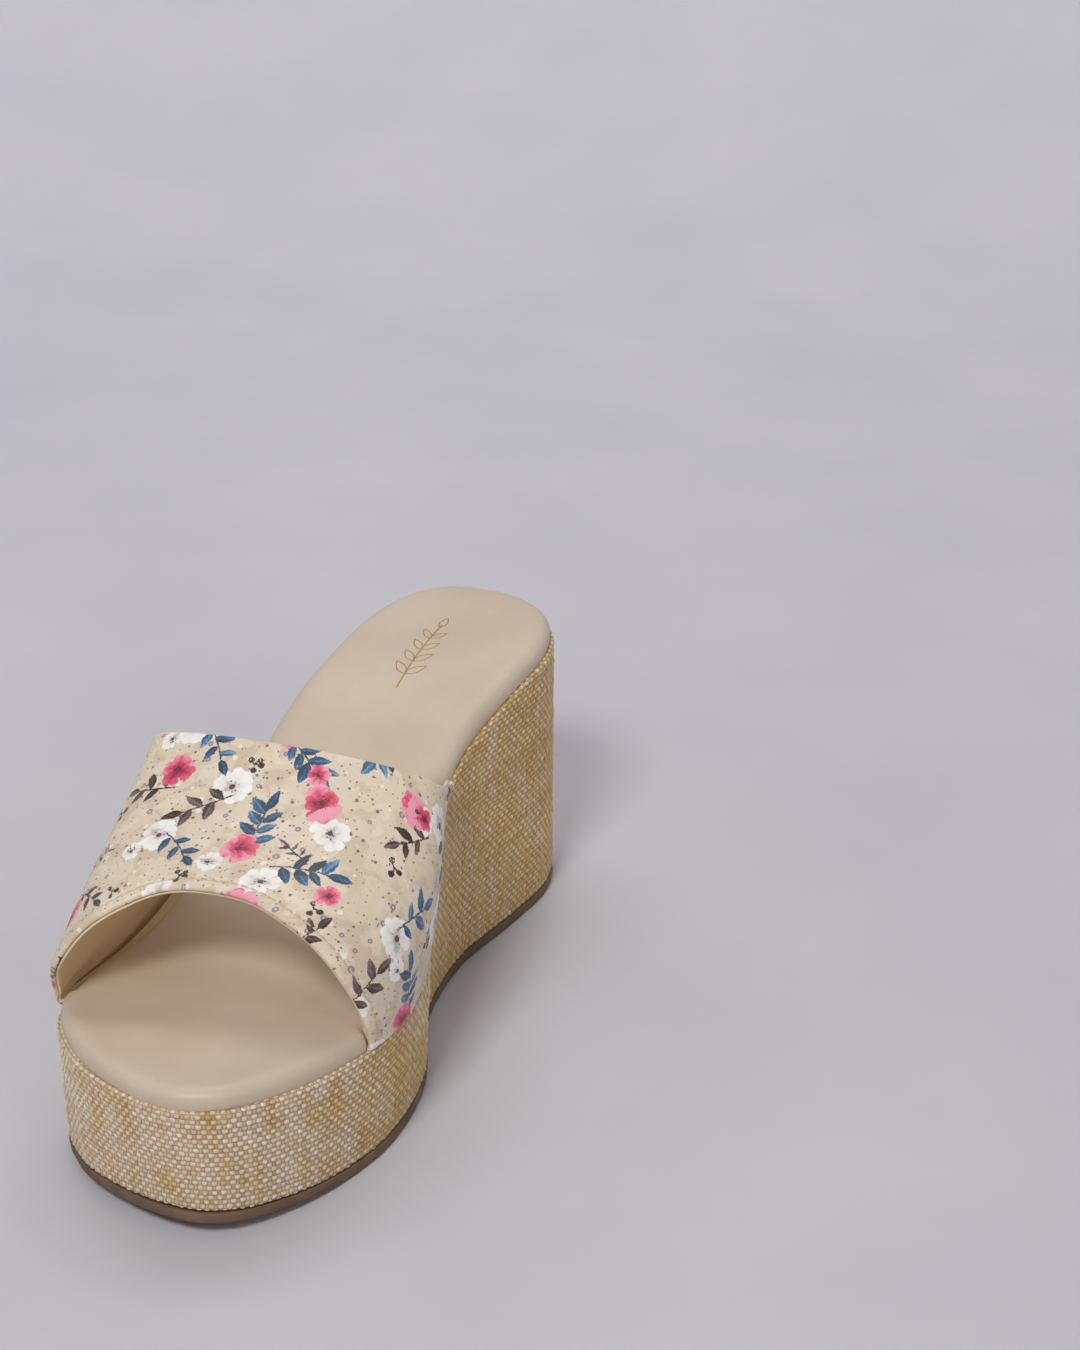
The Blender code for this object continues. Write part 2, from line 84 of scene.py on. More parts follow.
INSOLE_RISE = 6.75                        # insole's crown over the wedge's edge
INSOLE_SQUEEZE = 1.75                     # pressed in this far beside the strap
INSOLE_BED_LINES = 40
BED_DEPTH = 0.3
HOLLOWS = [(0.6, 196.0, 28.0), (0.45, 60.0, 32.0)]   # depth, reach and width: heel and ball
ZONE_BLEND = 1.8                          # how quickly the squeeze beside the strap sets in
INSOLE_EDGE = [                           # distance in from the wedge's edge, drop from the bed
    (9, -4.5), (3.6, -4.5), (2.7, -5.2), (2.1, -6.0), (1.7, -6.3), (1.42, -6.05),
    (1.26, -5.45), (1.17, -4.7), (1.15, -4.0), (1.22, -3.2), (1.42, -2.5), (1.78, -1.85),
    (2.3, -1.25), (2.95, -0.75), (3.7, -0.4), (4.6, -0.15), (5.7, -0.02), (7.2, 0.04),
    (9.0, 0.03), (11.5, 0.0), (14.0, 0.0), (16.5, 0.0)]

TWIG_CENTRE = (-4.0, 184.0)               # leafy twig in foil on the insole's heel
TWIG_LENGTH, TWIG_HEADING, TWIG_SWAY = 34.0, 88.0, 0.8
TWIG_STEM, TWIG_LINE = 0.32, 0.23         # half widths of the stem and of a leaf's outline
TWIG_RAIL = ((-1, -0.05), (-0.6, 0.05), (0.6, 0.05), (1, -0.05))   # across a line, and up

TREAD_LINES = 90
TREAD_PITCH, TREAD_DEPTH = 5.6, 0.9       # grooves under ball and heel
TREAD_SWAY, TREAD_SWAY_WIDTH = 2.4, 5.2   # how the grooves wave from side to side
RIB_PITCH, RIB_DEPTH = 3.4, 0.35          # fine ribs under the waist
BALL_ZONE, WAIST_ZONE, HEEL_ZONE = (22, 104), (108, 160), (166, 226)
ZONE_EDGE = 6                             # how gently a zone of the tread starts and ends
OUTSOLE_EDGE = [                          # distance in from the wall's foot, height
    (6.0, 3.5), (0.9, 3.5), (0.3, 3.4), (0.05, 3.1), (0.0, 2.4), (-0.12, 1.7),
    (-0.05, 1.0), (0.1, 0.4), (0.5, 0.06), (1.0, 0.0), (2.6, 0.0), (3.6, 0.0)]

EDGE_STEPS = [0.0, 0.08, 0.2, 0.36, 0.56, 0.8, 1.1, 1.5, 1.9, 2.3, 2.7, 3.0, 3.25, 3.5, 3.65,
              3.8, 3.95, 4.1, 4.35, 4.65, 5.0]
HEM_STEPS = [(0.08, 1.15), (0.3, 1.42), (0.7, 1.58), (1.6, 1.6), (4.0, 1.6)]
RIM_RADIUS = 0.9
HEM_PUFF, HEM_WIDTH = 0.26, 3.4
GROOVE_DEPTH, GROOVE_WIDTH = 0.26, 0.5
STRAP_ROWS, STRAP_MIDDLE = 408, 152       # points over the foot, and between the edge steps
LINING_ROWS, LINING_MIDDLE = 170, 34
LINING_TOP = 1.68
LIP_RISE, LIP_WIDTH = 0.22, 0.9           # the lining turns up a little at the front edge
LINING_STEPS = [0.35, 0.5, 0.8, 1.2, 1.8, 2.6, 4.0]
STITCH_PITCH, STITCH_GAP = 3.0, 0.5
STITCH_RADIUS, STITCH_SWELL = 0.15, 0.13  # at a stitch's ends, and more in its middle
STITCH_RISE, STITCH_SINK = 0.20, 0.08
STITCH_SIDES, STITCH_STEPS = 8, 9
STITCH_CAP = np.array([[0, 1, 2, 3], [3, 4, 5, 6], [6, 7, 0, 3]])   # closes a ring of 8 points


# ---------------------------------------------------------------- curves
def smooth(table, at):
    """Cubic Hermite curve through (position, value) pairs, for an array of positions."""
    place, value = np.array(table, float).T
    last = len(place) - 1
    low = np.maximum(np.arange(last + 1) - 1, 0)
    high = np.minimum(np.arange(last + 1) + 1, last)
    slope = (value[high] - value[low]) / (place[high] - place[low])
    at = np.clip(at, place[0], place[-1])
    k = np.clip(np.searchsorted(place, at, side="left") - 1, 0, last - 1)
    span = place[k + 1] - place[k]
    s = (at - place[k]) / span
    return (value[k] * (2 * s**3 - 3 * s**2 + 1) + slope[k] * span * (s**3 - 2 * s**2 + s)
            + value[k + 1] * (3 * s**2 - 2 * s**3) + slope[k + 1] * span * (s**3 - s**2))


def ease(s):
    s = np.clip(s, 0.0, 1.0)
    return s * s * (3 - 2 * s)


def bump_at(x, centre, width):
    return np.exp(-((x - centre) / width) ** 2)


def unit(vectors):
    return vectors / np.linalg.norm(vectors, axis=-1, keepdims=True)


def place_from(at, away, bearing):
    """The place at a distance and bearing, in radians, from another."""
    return at[0] + away * math.cos(bearing), at[1] + away * math.sin(bearing)


def distance_along(points):
    """Distance travelled along a line of points, at each of them."""
    steps = np.linalg.norm(np.diff(points, axis=0), axis=1)
    return np.concatenate([[0.0], np.cumsum(steps)])


def points_at(line, travelled, wanted):
    """Points of a line at the distances wanted, from the distance travelled at each of its own."""
    return np.stack([np.interp(wanted, travelled, column) for column in line.T], axis=-1)


def even_steps(line, count):
    """Resample a line to count points at equal distances."""
    travelled = distance_along(line)
    return points_at(line, travelled, np.linspace(0.0, travelled[-1], count))


def axis_at(reach):
    return AXIS_TOE + (AXIS_HEEL - AXIS_TOE) * reach / LENGTH


def angle_at(reach):
    return np.degrees(np.arccos(1 - 2 * np.clip(reach / LENGTH, 0.0, 1.0)))


def inner_edge(reach):
    return axis_at(reach) + smooth(INNER_REACH, angle_at(reach))


def outer_edge(reach):
    return axis_at(reach) - smooth(OUTER_REACH, angle_at(reach))


def top_height(reach):
    return smooth(TOP_EDGE, reach)


def ground_height(reach):
    lift = np.maximum(SPRING_START - reach, 0.0) / SPRING_START
    return TOE_SPRING * lift * lift


def taper_at(x, reach):
    """How far in from the top edge the wall's foot stands."""
    lean = TAPER_TOE + (TAPER_HEEL - TAPER_TOE) * np.clip(reach / LENGTH, 0.0, 1.0)
    return lean - UPRIGHT * ease((axis_at(reach) - x) / 42) * ease((130 - reach) / 60)


def outline(side_points):
    """Footprint points and inward normals: toe, inner side, heel, outer side, evenly spaced."""
    turn = np.linspace(0.0, 180.0, 1200)
    reach = LENGTH / 2 * (1 - np.cos(np.radians(turn)))
    inner = np.stack([axis_at(reach) + smooth(INNER_REACH, turn), reach], axis=1)
    outer = np.stack([axis_at(reach) - smooth(OUTER_REACH, turn), reach], axis=1)
    inner = even_steps(inner, side_points + 1)
    outer = even_steps(outer, side_points + 1)
    points = np.concatenate([inner, outer[-2:0:-1]])
    ahead = unit(np.roll(points, -1, axis=0) - np.roll(points, 1, axis=0))
    return points, np.stack([-ahead[:, 1], ahead[:, 0]], axis=1)


def waves(x, y, seed, size):
    """Gentle unevenness between -1 and 1, the same each run; size is its scale in mm."""
    dice = np.random.default_rng(seed)
    total = np.zeros(np.broadcast(x, y).shape)
    for _ in range(6):
        heading = dice.uniform(0, 2 * math.pi)
        length = size * dice.uniform(0.7, 1.6)
        phase = dice.uniform(0, 2 * math.pi)
        across = x * math.cos(heading) + y * math.sin(heading)
        total = total + np.sin(2 * math.pi * across / length + phase)
    return total / 6


# ---------------------------------------------------------------- mesh building
def grid_faces(rows, columns, wrap=False):
    """Quads of a grid of points stored row by row; wrap joins the last column to the first."""
    index = np.arange(rows * columns).reshape(rows, columns)
    if wrap:
        index = np.concatenate([index, index[:, :1]], axis=1)
    low, high = index[:-1], index[1:]
    faces = np.stack([low[:, :-1], low[:, 1:], high[:, 1:], high[:, :-1]], axis=-1)
    return faces.reshape(-1, 4)


def fill_outline(rim, lines_across, height):
    """Points and faces of a rim, and of lines from toe to heel that fill its last ring.

    rim is a list of rings of points, as outline gives them.  height gives a filling line's
    height from its x, its reach and how far it is from the rim.
    """
    rim = np.array(rim)
    rings, count = rim.shape[:2]
    inner = np.arange(count // 2 + 1)
    outer = (count - inner) % count
    inner_line, outer_line = rim[-1, inner], rim[-1, outer]
    width = np.linalg.norm(inner_line - outer_line, axis=1)
    points = [rim.reshape(-1, 3)]
    last_ring = (rings - 1) * count
    lines = [last_ring + inner]
    for k, share in enumerate(np.linspace(0, 1, lines_across + 2)[1:-1]):
        place = inner_line * (1 - share) + outer_line * share
        place[:, 2] = height(place[:, 0], place[:, 1], width * min(share, 1 - share))
        points.append(place)
        lines.append(rings * count + k * len(inner) + inner)
    lines.append(last_ring + outer)
    faces = [grid_faces(rings, count, wrap=True)]
    for a, b in zip(lines, lines[1:]):
        faces.append(np.stack([a[:-1], a[1:], b[1:], b[:-1]], axis=-1))
    return np.concatenate(points), np.concatenate(faces)


def build_mesh(name, points, faces, material):
    """A smooth piece from layout points, in millimetres, and quads."""
    mesh = bpy.data.meshes.new(name)
    placed = (np.asarray(points) - np.array([CENTRE_X, LENGTH / 2, 0.0])) * MM
    faces = np.asarray(faces, np.int32)
    mesh.vertices.add(len(placed))
    mesh.vertices.foreach_set("co", placed.astype(np.float32).ravel())
    mesh.loops.add(faces.size)
    mesh.loops.foreach_set("vertex_index", faces.ravel())
    mesh.polygons.add(len(faces))
    mesh.polygons.foreach_set("loop_start", np.arange(len(faces), dtype=np.int32) * 4)
    mesh.update(calc_edges=True)
    mesh.validate()
    mesh.materials.append(material)
    mesh.shade_smooth()
    piece = bpy.data.objects.new(name, mesh)
    bpy.context.scene.collection.objects.link(piece)
    return piece


def rework(piece, change):
    """Apply one bmesh change to a piece's mesh."""
    edit = bmesh.new()
    edit.from_mesh(piece.data)
    change(edit)
    edit.to_mesh(piece.data)
    edit.free()


def weld_doubles(piece):
    rework(piece, lambda edit: bmesh.ops.remove_doubles(edit, verts=edit.verts,
                                                        dist=WELD_METRES))


def face_outwards(piece):
    rework(piece, lambda edit: bmesh.ops.recalc_face_normals(edit, faces=edit.faces))


def store_coordinates(piece, name, values):
    """Keep two numbers per point as a UV map, for materials to read."""
    mesh = piece.data
    layer = mesh.uv_layers.new(name=name)
    corner = np.empty(len(mesh.loops), np.int32)
    mesh.loops.foreach_get("vertex_index", corner)
    layer.data.foreach_set("uv", np.asarray(values, np.float32)[corner].ravel())


def store_columns(piece, name, columns):
    """Keep up to three numbers per point as a colour attribute."""
    layer = piece.data.color_attributes.new(name=name, type="FLOAT_COLOR", domain="POINT")
    full = np.ones((len(columns[0]), 4), np.float32)
    full[:, :len(columns)] = np.column_stack(columns)
    layer.data.foreach_set("color", full.ravel())


def place_piece(piece, slot, *nodes):
    if nodes:
        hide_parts(*nodes)
    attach(piece, "root")


# ---------------------------------------------------------------- materials
def linear(colour):
    """A screen colour, 0 to 255, as the linear colour that shaders take."""
    share = np.array(colour, float) / 255
    high = ((share + 0.055) / 1.055) ** 2.4
    return (*np.where(share <= 0.04045, share / 12.92, high), 1.0)


class Wire:
    """A value on its way through a material; arithmetic on it adds math nodes."""

    def __init__(self, shader, socket):
        self.shader = shader
        self.socket = socket

    def __add__(self, other):
        return self.shader.math("ADD", self, other)

    def __sub__(self, other):
        return self.shader.math("SUBTRACT", self, other)

    def __rsub__(self, other):
        return self.shader.math("SUBTRACT", other, self)

    def __mul__(self, other):
        return self.shader.math("MULTIPLY", self, other)


class Shader:
    """Short names for the node calls that the materials below repeat."""

    def __init__(self, name):
        self.material = bpy.data.materials.new(name)
        self.material.use_nodes = True
        self.tree = self.material.node_tree
        self.body = self.tree.nodes["Principled BSDF"]
        self.where = self.add("TexCoord", "Object", {})

    def feed(self, socket, value):
        if isinstance(value, Wire):
            self.tree.links.new(value.socket, socket)
        else:
            socket.default_value = value

    def finish(self, **sockets):
        """Set the surface's sockets, named with _ for a space, and give the material back."""
        for name, value in sockets.items():
            self.feed(self.body.inputs[name.replace("_", " ")], value)
        return self.material

    def add(self, kind, output, inputs, **settings):
        """Add a node with its settings and inputs, and take one of its outputs."""
        node = self.tree.nodes.new("ShaderNode" + kind)
        for name, value in settings.items():
            setattr(node, name, value)
        for name, value in inputs.items():
            self.feed(node.inputs[name], value)
        return Wire(self, node.outputs[output])

    def math(self, operation, a, b=0.5, clamp=False):
        return self.add("Math", 0, {0: a, 1: b}, operation=operation, use_clamp=clamp)

    def mix(self, share, a, b):
        """Mix two colours, each a wire or a screen colour."""
        a, b = [side if isinstance(side, Wire) else linear(side) for side in (a, b)]
        return self.add("Mix", 2, {0: share, 6: a, 7: b}, data_type="RGBA")

    def between(self, value, low, high, to_low=0.0, to_high=1.0):
        return self.add("MapRange", "Result", {
            "Value": value, "From Min": low, "From Max": high, "To Min": to_low,
            "To Max": to_high})

    def stretch(self, vector, x, y, z):
        return self.add("VectorMath", 0, {0: vector, 1: (x, y, z)}, operation="MULTIPLY")

    def noise(self, scale, detail=2.0, rough=0.5, where=None, distortion=0.0):
        return self.add("TexNoise", "Fac", {
            "Vector": where or self.where, "Scale": scale, "Detail": detail,
            "Roughness": rough, "Distortion": distortion})

    def cells(self, scale):
        return self.add("TexVoronoi", "Distance", {"Vector": self.where, "Scale": scale})

    def scatter(self, where, scale):
        """Distance to the nearest of scattered spots, and two random numbers for that spot."""
        away = self.add("TexVoronoi", "Distance", {"Vector": where, "Scale": scale},
                        voronoi_dimensions="2D")
        colour = Wire(self, away.socket.node.outputs["Color"])
        return [away] + self.parts(colour)[:2]

    def dice(self, x, y):
        """A random number for each pair of whole numbers."""
        pair = self.add("CombineXYZ", 0, {0: x, 1: y})
        return self.add("TexWhiteNoise", "Value", {"Vector": pair}, noise_dimensions="2D")

    def ramp(self, value, *stops):
        """A colour ramp; each stop is its place and its screen colour."""
        colour = self.add("ValToRGB", "Color", {"Fac": value})
        elements = colour.socket.node.color_ramp.elements
        while len(elements) < len(stops):
            elements.new(0.5)
        for element, (place, *shade) in zip(elements, stops):
            element.position = place
            element.color = linear(shade)
        return colour

    def bump(self, height, strength, distance, under=None):
        inputs = {"Strength": strength, "Distance": distance, "Height": height}
        if under:
            inputs["Normal"] = under
        return self.add("Bump", "Normal", inputs)

    def uv(self, name):
        return self.add("UVMap", "UV", {}, uv_map=name)

    def attribute(self, name):
        return self.add("Attribute", "Color", {}, attribute_name=name)

    def parts(self, vector):
        x = self.add("SeparateXYZ", 0, {0: vector})
        return [Wire(self, output) for output in x.socket.node.outputs]


def straw_material():
    """Flat woven straw: each straw has its own tint and some floats are metallic foil; glints,
    highlights, gap shade and toe sheen are painted into the colour.
    """
    s = Shader("woven_straw")
    place = s.uv("weave")
    across, up, _ = s.parts(place)
    column, row = s.math("FLOOR", across), s.math("FLOOR", up)
    level = s.between(s.math("MODULO", column + row, 2.0), 0.5, 0.51)
    upright = 1.0 - level
    straw_tint = upright * s.dice(column, 3.0) + level * s.dice(row, 7.0)
    float_tint = s.dice(column, row)

    along_row = s.noise(1.0, 3.0, 0.6, s.stretch(place, 1.6, 11.0, 1.0))
    along_column = s.noise(1.0, 3.0, 0.6, s.stretch(place, 11.0, 1.6, 1.0))
    fibre = upright * along_column + level * along_row
    patches = s.noise(1.0, 4.0, 0.65, s.stretch(place, 0.13, 0.07, 1.0))

    from_middle = [s.math("ABSOLUTE", s.math("FRACT", part) - 0.5) for part in (across, up)]
    edge = s.math("MAXIMUM", *from_middle)
    tone = straw_tint * 0.16 + float_tint * 0.16 + fibre * 0.36 + level * 0.15
    # painted highlight and shade: each float is painted lighter toward its middle and darker
    # toward its sides
    tone = s.math("ADD", tone, s.between(edge, 0.5, 0.1, -0.06, 0.12), clamp=True)
    gold = s.ramp(tone, (0.2, 170, 133, 76), (0.42, 205, 171, 108),
                  (0.62, 227, 198, 140), (0.85, 245, 226, 182))
    silver = s.ramp(tone, (0.2, 190, 164, 134), (0.45, 225, 204, 176),
                    (0.68, 243, 228, 207), (0.9, 254, 250, 242))
    amber = s.ramp(tone, (0.2, 170, 124, 60), (0.6, 216, 172, 102), (0.9, 237, 204, 146))
    # painted sheen: toward the toe the straw is painted paler and more silver, standing in for the
    # shine on the front of the wrap
    toe_sheen = s.between(s.parts(s.where)[1], -0.055, -0.100)
    paler = patches + (toe_sheen * 0.22 - 0.05)
    colour = s.mix(s.between(paler, 0.46, 0.70, 0.0, 0.85), gold, silver)
    colour = s.mix(s.between(patches, 0.46, 0.30, 0.0, 0.38), colour, amber)

    # painted glints: foil floats are metallic and are also mixed toward near white where glints
    # would show, most where the straw is painted paler
    shine = level * s.between(paler, 0.48, 0.66, 0.15, 1.0)
    foil_and_glint = s.between(float_tint, 0.30, 0.75) * s.between(edge, 0.46, 0.20) * shine
    colour = s.mix(foil_and_glint * 0.55, colour, (255, 250, 238))
    # painted shade: the gaps between straws are darkened toward brown
    gap_shade = s.between(edge, 0.36, 0.5)
    colour = s.mix(gap_shade * 0.55, colour, (128, 97, 60))
    return s.finish(Base_Color=colour, Metallic=foil_and_glint * 0.28 + 0.05,
                    Roughness=s.between(fibre, 0.3, 0.7, 0.30, 0.46) - foil_and_glint * 0.14,
                    Normal=s.bump(fibre, 0.7, 0.00018))


PRINT_SPECKS = [
    # spots per mm, share of them shown, size, hollow share, colour
    (0.46, 0.62, 0.16, 0.0, (104, 80, 72)),
    (0.30, 0.52, 0.17, 0.0, (92, 74, 80)),
    (0.17, 0.50, 0.19, 0.3, (130, 114, 142)),
    (0.21, 0.30, 0.20, 0.0, (244, 238, 226)),
]


def print_material():
    """Satin printed synthetic leather: a small watercolour floral on a cream ground."""
    s = Shader("floral_print")
    flat = s.uv("flat")
    white, pink, heart = s.parts(s.attribute("flowers"))
    blue, brown, _ = s.parts(s.attribute("leaves"))
    petal_tone, leaf_tone, _ = s.parts(s.attribute("tones"))
    bleed = (s.noise(1.3, 3.0, 0.6, flat) - 0.5) * 0.9
    wash = s.noise(0.9, 4.0, 0.65, flat)
    fine = s.noise(3.2, 3.0, 0.6, flat)

    def inside(depth):
        return s.between(depth + bleed, -0.07, 0.07)

    blotch = s.noise(0.105, 3.0, 0.55, flat, 0.6)
    colour = s.mix(s.between(blotch, 0.50, 0.56, 0.0, 0.62), (225, 210, 186), (206, 184, 156))
    pale = s.noise(0.16, 2.0, 0.5, s.stretch(flat, 1.0, -1.0, 1.0), 0.4)
    colour = s.mix(s.between(pale, 0.56, 0.60, 0.0, 0.5), colour, (236, 225, 206))
    colour = s.mix(s.between(wash, 0.35, 0.75, 0.0, 0.22), colour, (198, 176, 152))

    ragged = (fine - 0.5) * 0.12
    for scale, share, size, hollow, tint in PRINT_SPECKS:
        away, chance, radius = s.scatter(flat, scale)
        away = away + ragged
        radius = radius * size
        dot = s.math("MINIMUM", radius - away, away - radius * hollow)
        here = s.between(dot, -0.01, 0.015) * s.between(chance, share, share - 0.01)
        colour = s.mix(here * 0.85, colour, tint)

    petal = petal_tone + (wash - 0.5) * 0.9
    leaf = leaf_tone + (wash - 0.5) * 0.8
    whites = s.ramp(petal, (0.1, 196, 186, 178), (0.4, 236, 230, 222), (0.9, 248, 246, 242))
    browns = s.ramp(leaf, (0.1, 34, 22, 26), (0.5, 64, 46, 48), (0.95, 124, 110, 110))
    blues = s.ramp(leaf, (0.05, 18, 38, 60), (0.4, 28, 72, 110), (0.7, 52, 114, 154),
                   (1.0, 130, 172, 192))
    pinks = s.ramp(petal, (0.1, 150, 28, 62), (0.35, 212, 58, 98), (0.65, 228, 88, 124),
                   (1.0, 240, 160, 178))
    for depth, shades in ((white, whites), (brown, browns), (blue, blues), (pink, pinks)):
        colour = s.mix(inside(depth), colour, shades)
    colour = s.mix(s.between(heart, -0.05, 0.05, 0.0, 0.92), colour, (52, 24, 36))
    colour = s.mix(s.between(fine, 0.35, 0.7, 0.0, 0.10), colour, (180, 160, 136))
    grain = s.bump(s.cells(2600.0), 0.12, 0.00006)
    return s.finish(Base_Color=colour,
                    Roughness=s.between(s.noise(60.0, 3.0), 0.3, 0.7, 0.36, 0.46),
                    Normal=s.bump(s.noise(5200.0), 0.10, 0.00005, grain))


def smooth_leather(name, dark, light, roughness, grain, mottle=34.0):
    """Plain synthetic leather with fine grain and slow tone changes."""
    s = Shader(name)
    tone = s.noise(mottle, 3.0, 0.55) * 0.8 + s.noise(900.0, 2.0, 0.6) * 0.2
    cells = s.bump(s.cells(2200.0), grain, 0.00008)
    return s.finish(Base_Color=s.ramp(tone, (0.35, *dark), (0.65, *light)),
                    Roughness=s.between(s.noise(140.0, 3.0), 0.3, 0.7, *roughness),
                    Normal=s.bump(s.noise(4200.0), grain, 0.00005, cells))


def rubber_material():
    s = Shader("taupe_rubber")
    slow = s.noise(90.0, 4.0, 0.6)
    grit = s.noise(1500.0, 3.0, 0.7)
    scuff = s.noise(22.0, 5.0, 0.65, s.stretch(s.where, 1.0, 3.0, 6.0))
    colour = s.ramp(slow, (0.3, 92, 70, 54), (0.7, 120, 97, 78))
    colour = s.mix(s.between(scuff, 0.55, 0.75, 0.0, 0.35), colour, (146, 126, 106))
    return s.finish(Base_Color=colour, Roughness=s.between(grit, 0.3, 0.7, 0.62, 0.82),
                    Normal=s.bump(grit, 0.5, 0.00015, s.bump(slow, 0.4, 0.0004)))


def foil_material():
    s = Shader("gold_foil")
    wear = s.noise(700.0, 4.0, 0.7)
    return s.finish(Base_Color=s.ramp(wear, (0.3, 150, 112, 58), (0.6, 190, 150, 92)),
                    Metallic=0.55, Roughness=s.between(wear, 0.3, 0.7, 0.34, 0.55))


def thread_material():
    s = Shader("stitch_thread")
    twist = s.noise(1.0, 2.0, 0.5, s.stretch(s.where, 5200.0, 5200.0, 9000.0))
    return s.finish(Base_Color=s.ramp(twist, (0.35, 186, 162, 126), (0.65, 224, 206, 172)),
                    Roughness=0.62, Normal=s.bump(twist, 0.5, 0.0001))


def block_material(name, dark, light, scale, roughness):
    """A hidden piece: speckled block, board, foam or felt."""
    s = Shader(name)
    specks = s.noise(scale, 4.0, 0.7)
    rough = s.between(s.noise(scale / 2, 3.0), 0.3, 0.7, roughness - 0.08, roughness)
    return s.finish(Base_Color=s.ramp(specks, (0.35, *dark), (0.65, *light)),
                    Roughness=rough, Normal=s.bump(specks, 0.4, 0.0002))


def steel_material():
    s = Shader("spring_steel")
    brushed = s.noise(1.0, 3.0, 0.6, s.stretch(s.where, 2600.0, 60.0, 60.0))
    return s.finish(Base_Color=s.ramp(brushed, (0.3, 150, 150, 152), (0.7, 190, 190, 192)),
                    Metallic=1.0, Roughness=s.between(brushed, 0.3, 0.7, 0.28, 0.42))


def floor_material():
    s = Shader("studio_paper")
    mottle = s.noise(9.0, 3.0)
    return s.finish(Base_Color=s.ramp(mottle, (0.3, 196, 195, 200), (0.7, 202, 201, 205)),
                    Roughness=0.85, Normal=s.bump(s.noise(700.0, 3.0), 0.05, 0.0001))


# ---------------------------------------------------------------- woven wrap
def float_height(across, up):
    """Relief of a plain weave: level straws arch high over the flatter upright ones."""
    u = across - np.floor(across)
    v = up - np.floor(up)
    level = (np.floor(across) + np.floor(up)) % 2 > 0.5
    round_u = np.clip(np.sin(math.pi * u), 0, 1)
    round_v = np.clip(np.sin(math.pi * v), 0, 1)
    return np.where(level, round_u**0.6 * round_v**0.45, 0.6 * round_v**0.8 * round_u**0.3)


def float_spread(across, up):
    """How far a point moves along the wall, as level straws bulge and upright ones narrow."""
    v = up - np.floor(up)
    side = np.where(np.floor(up) % 2 < 0.5, 1.0, -1.0)
    return STRAND_BULGE * STRAND_ACROSS * np.cos(math.pi * across) * side * np.sin(math.pi * v)


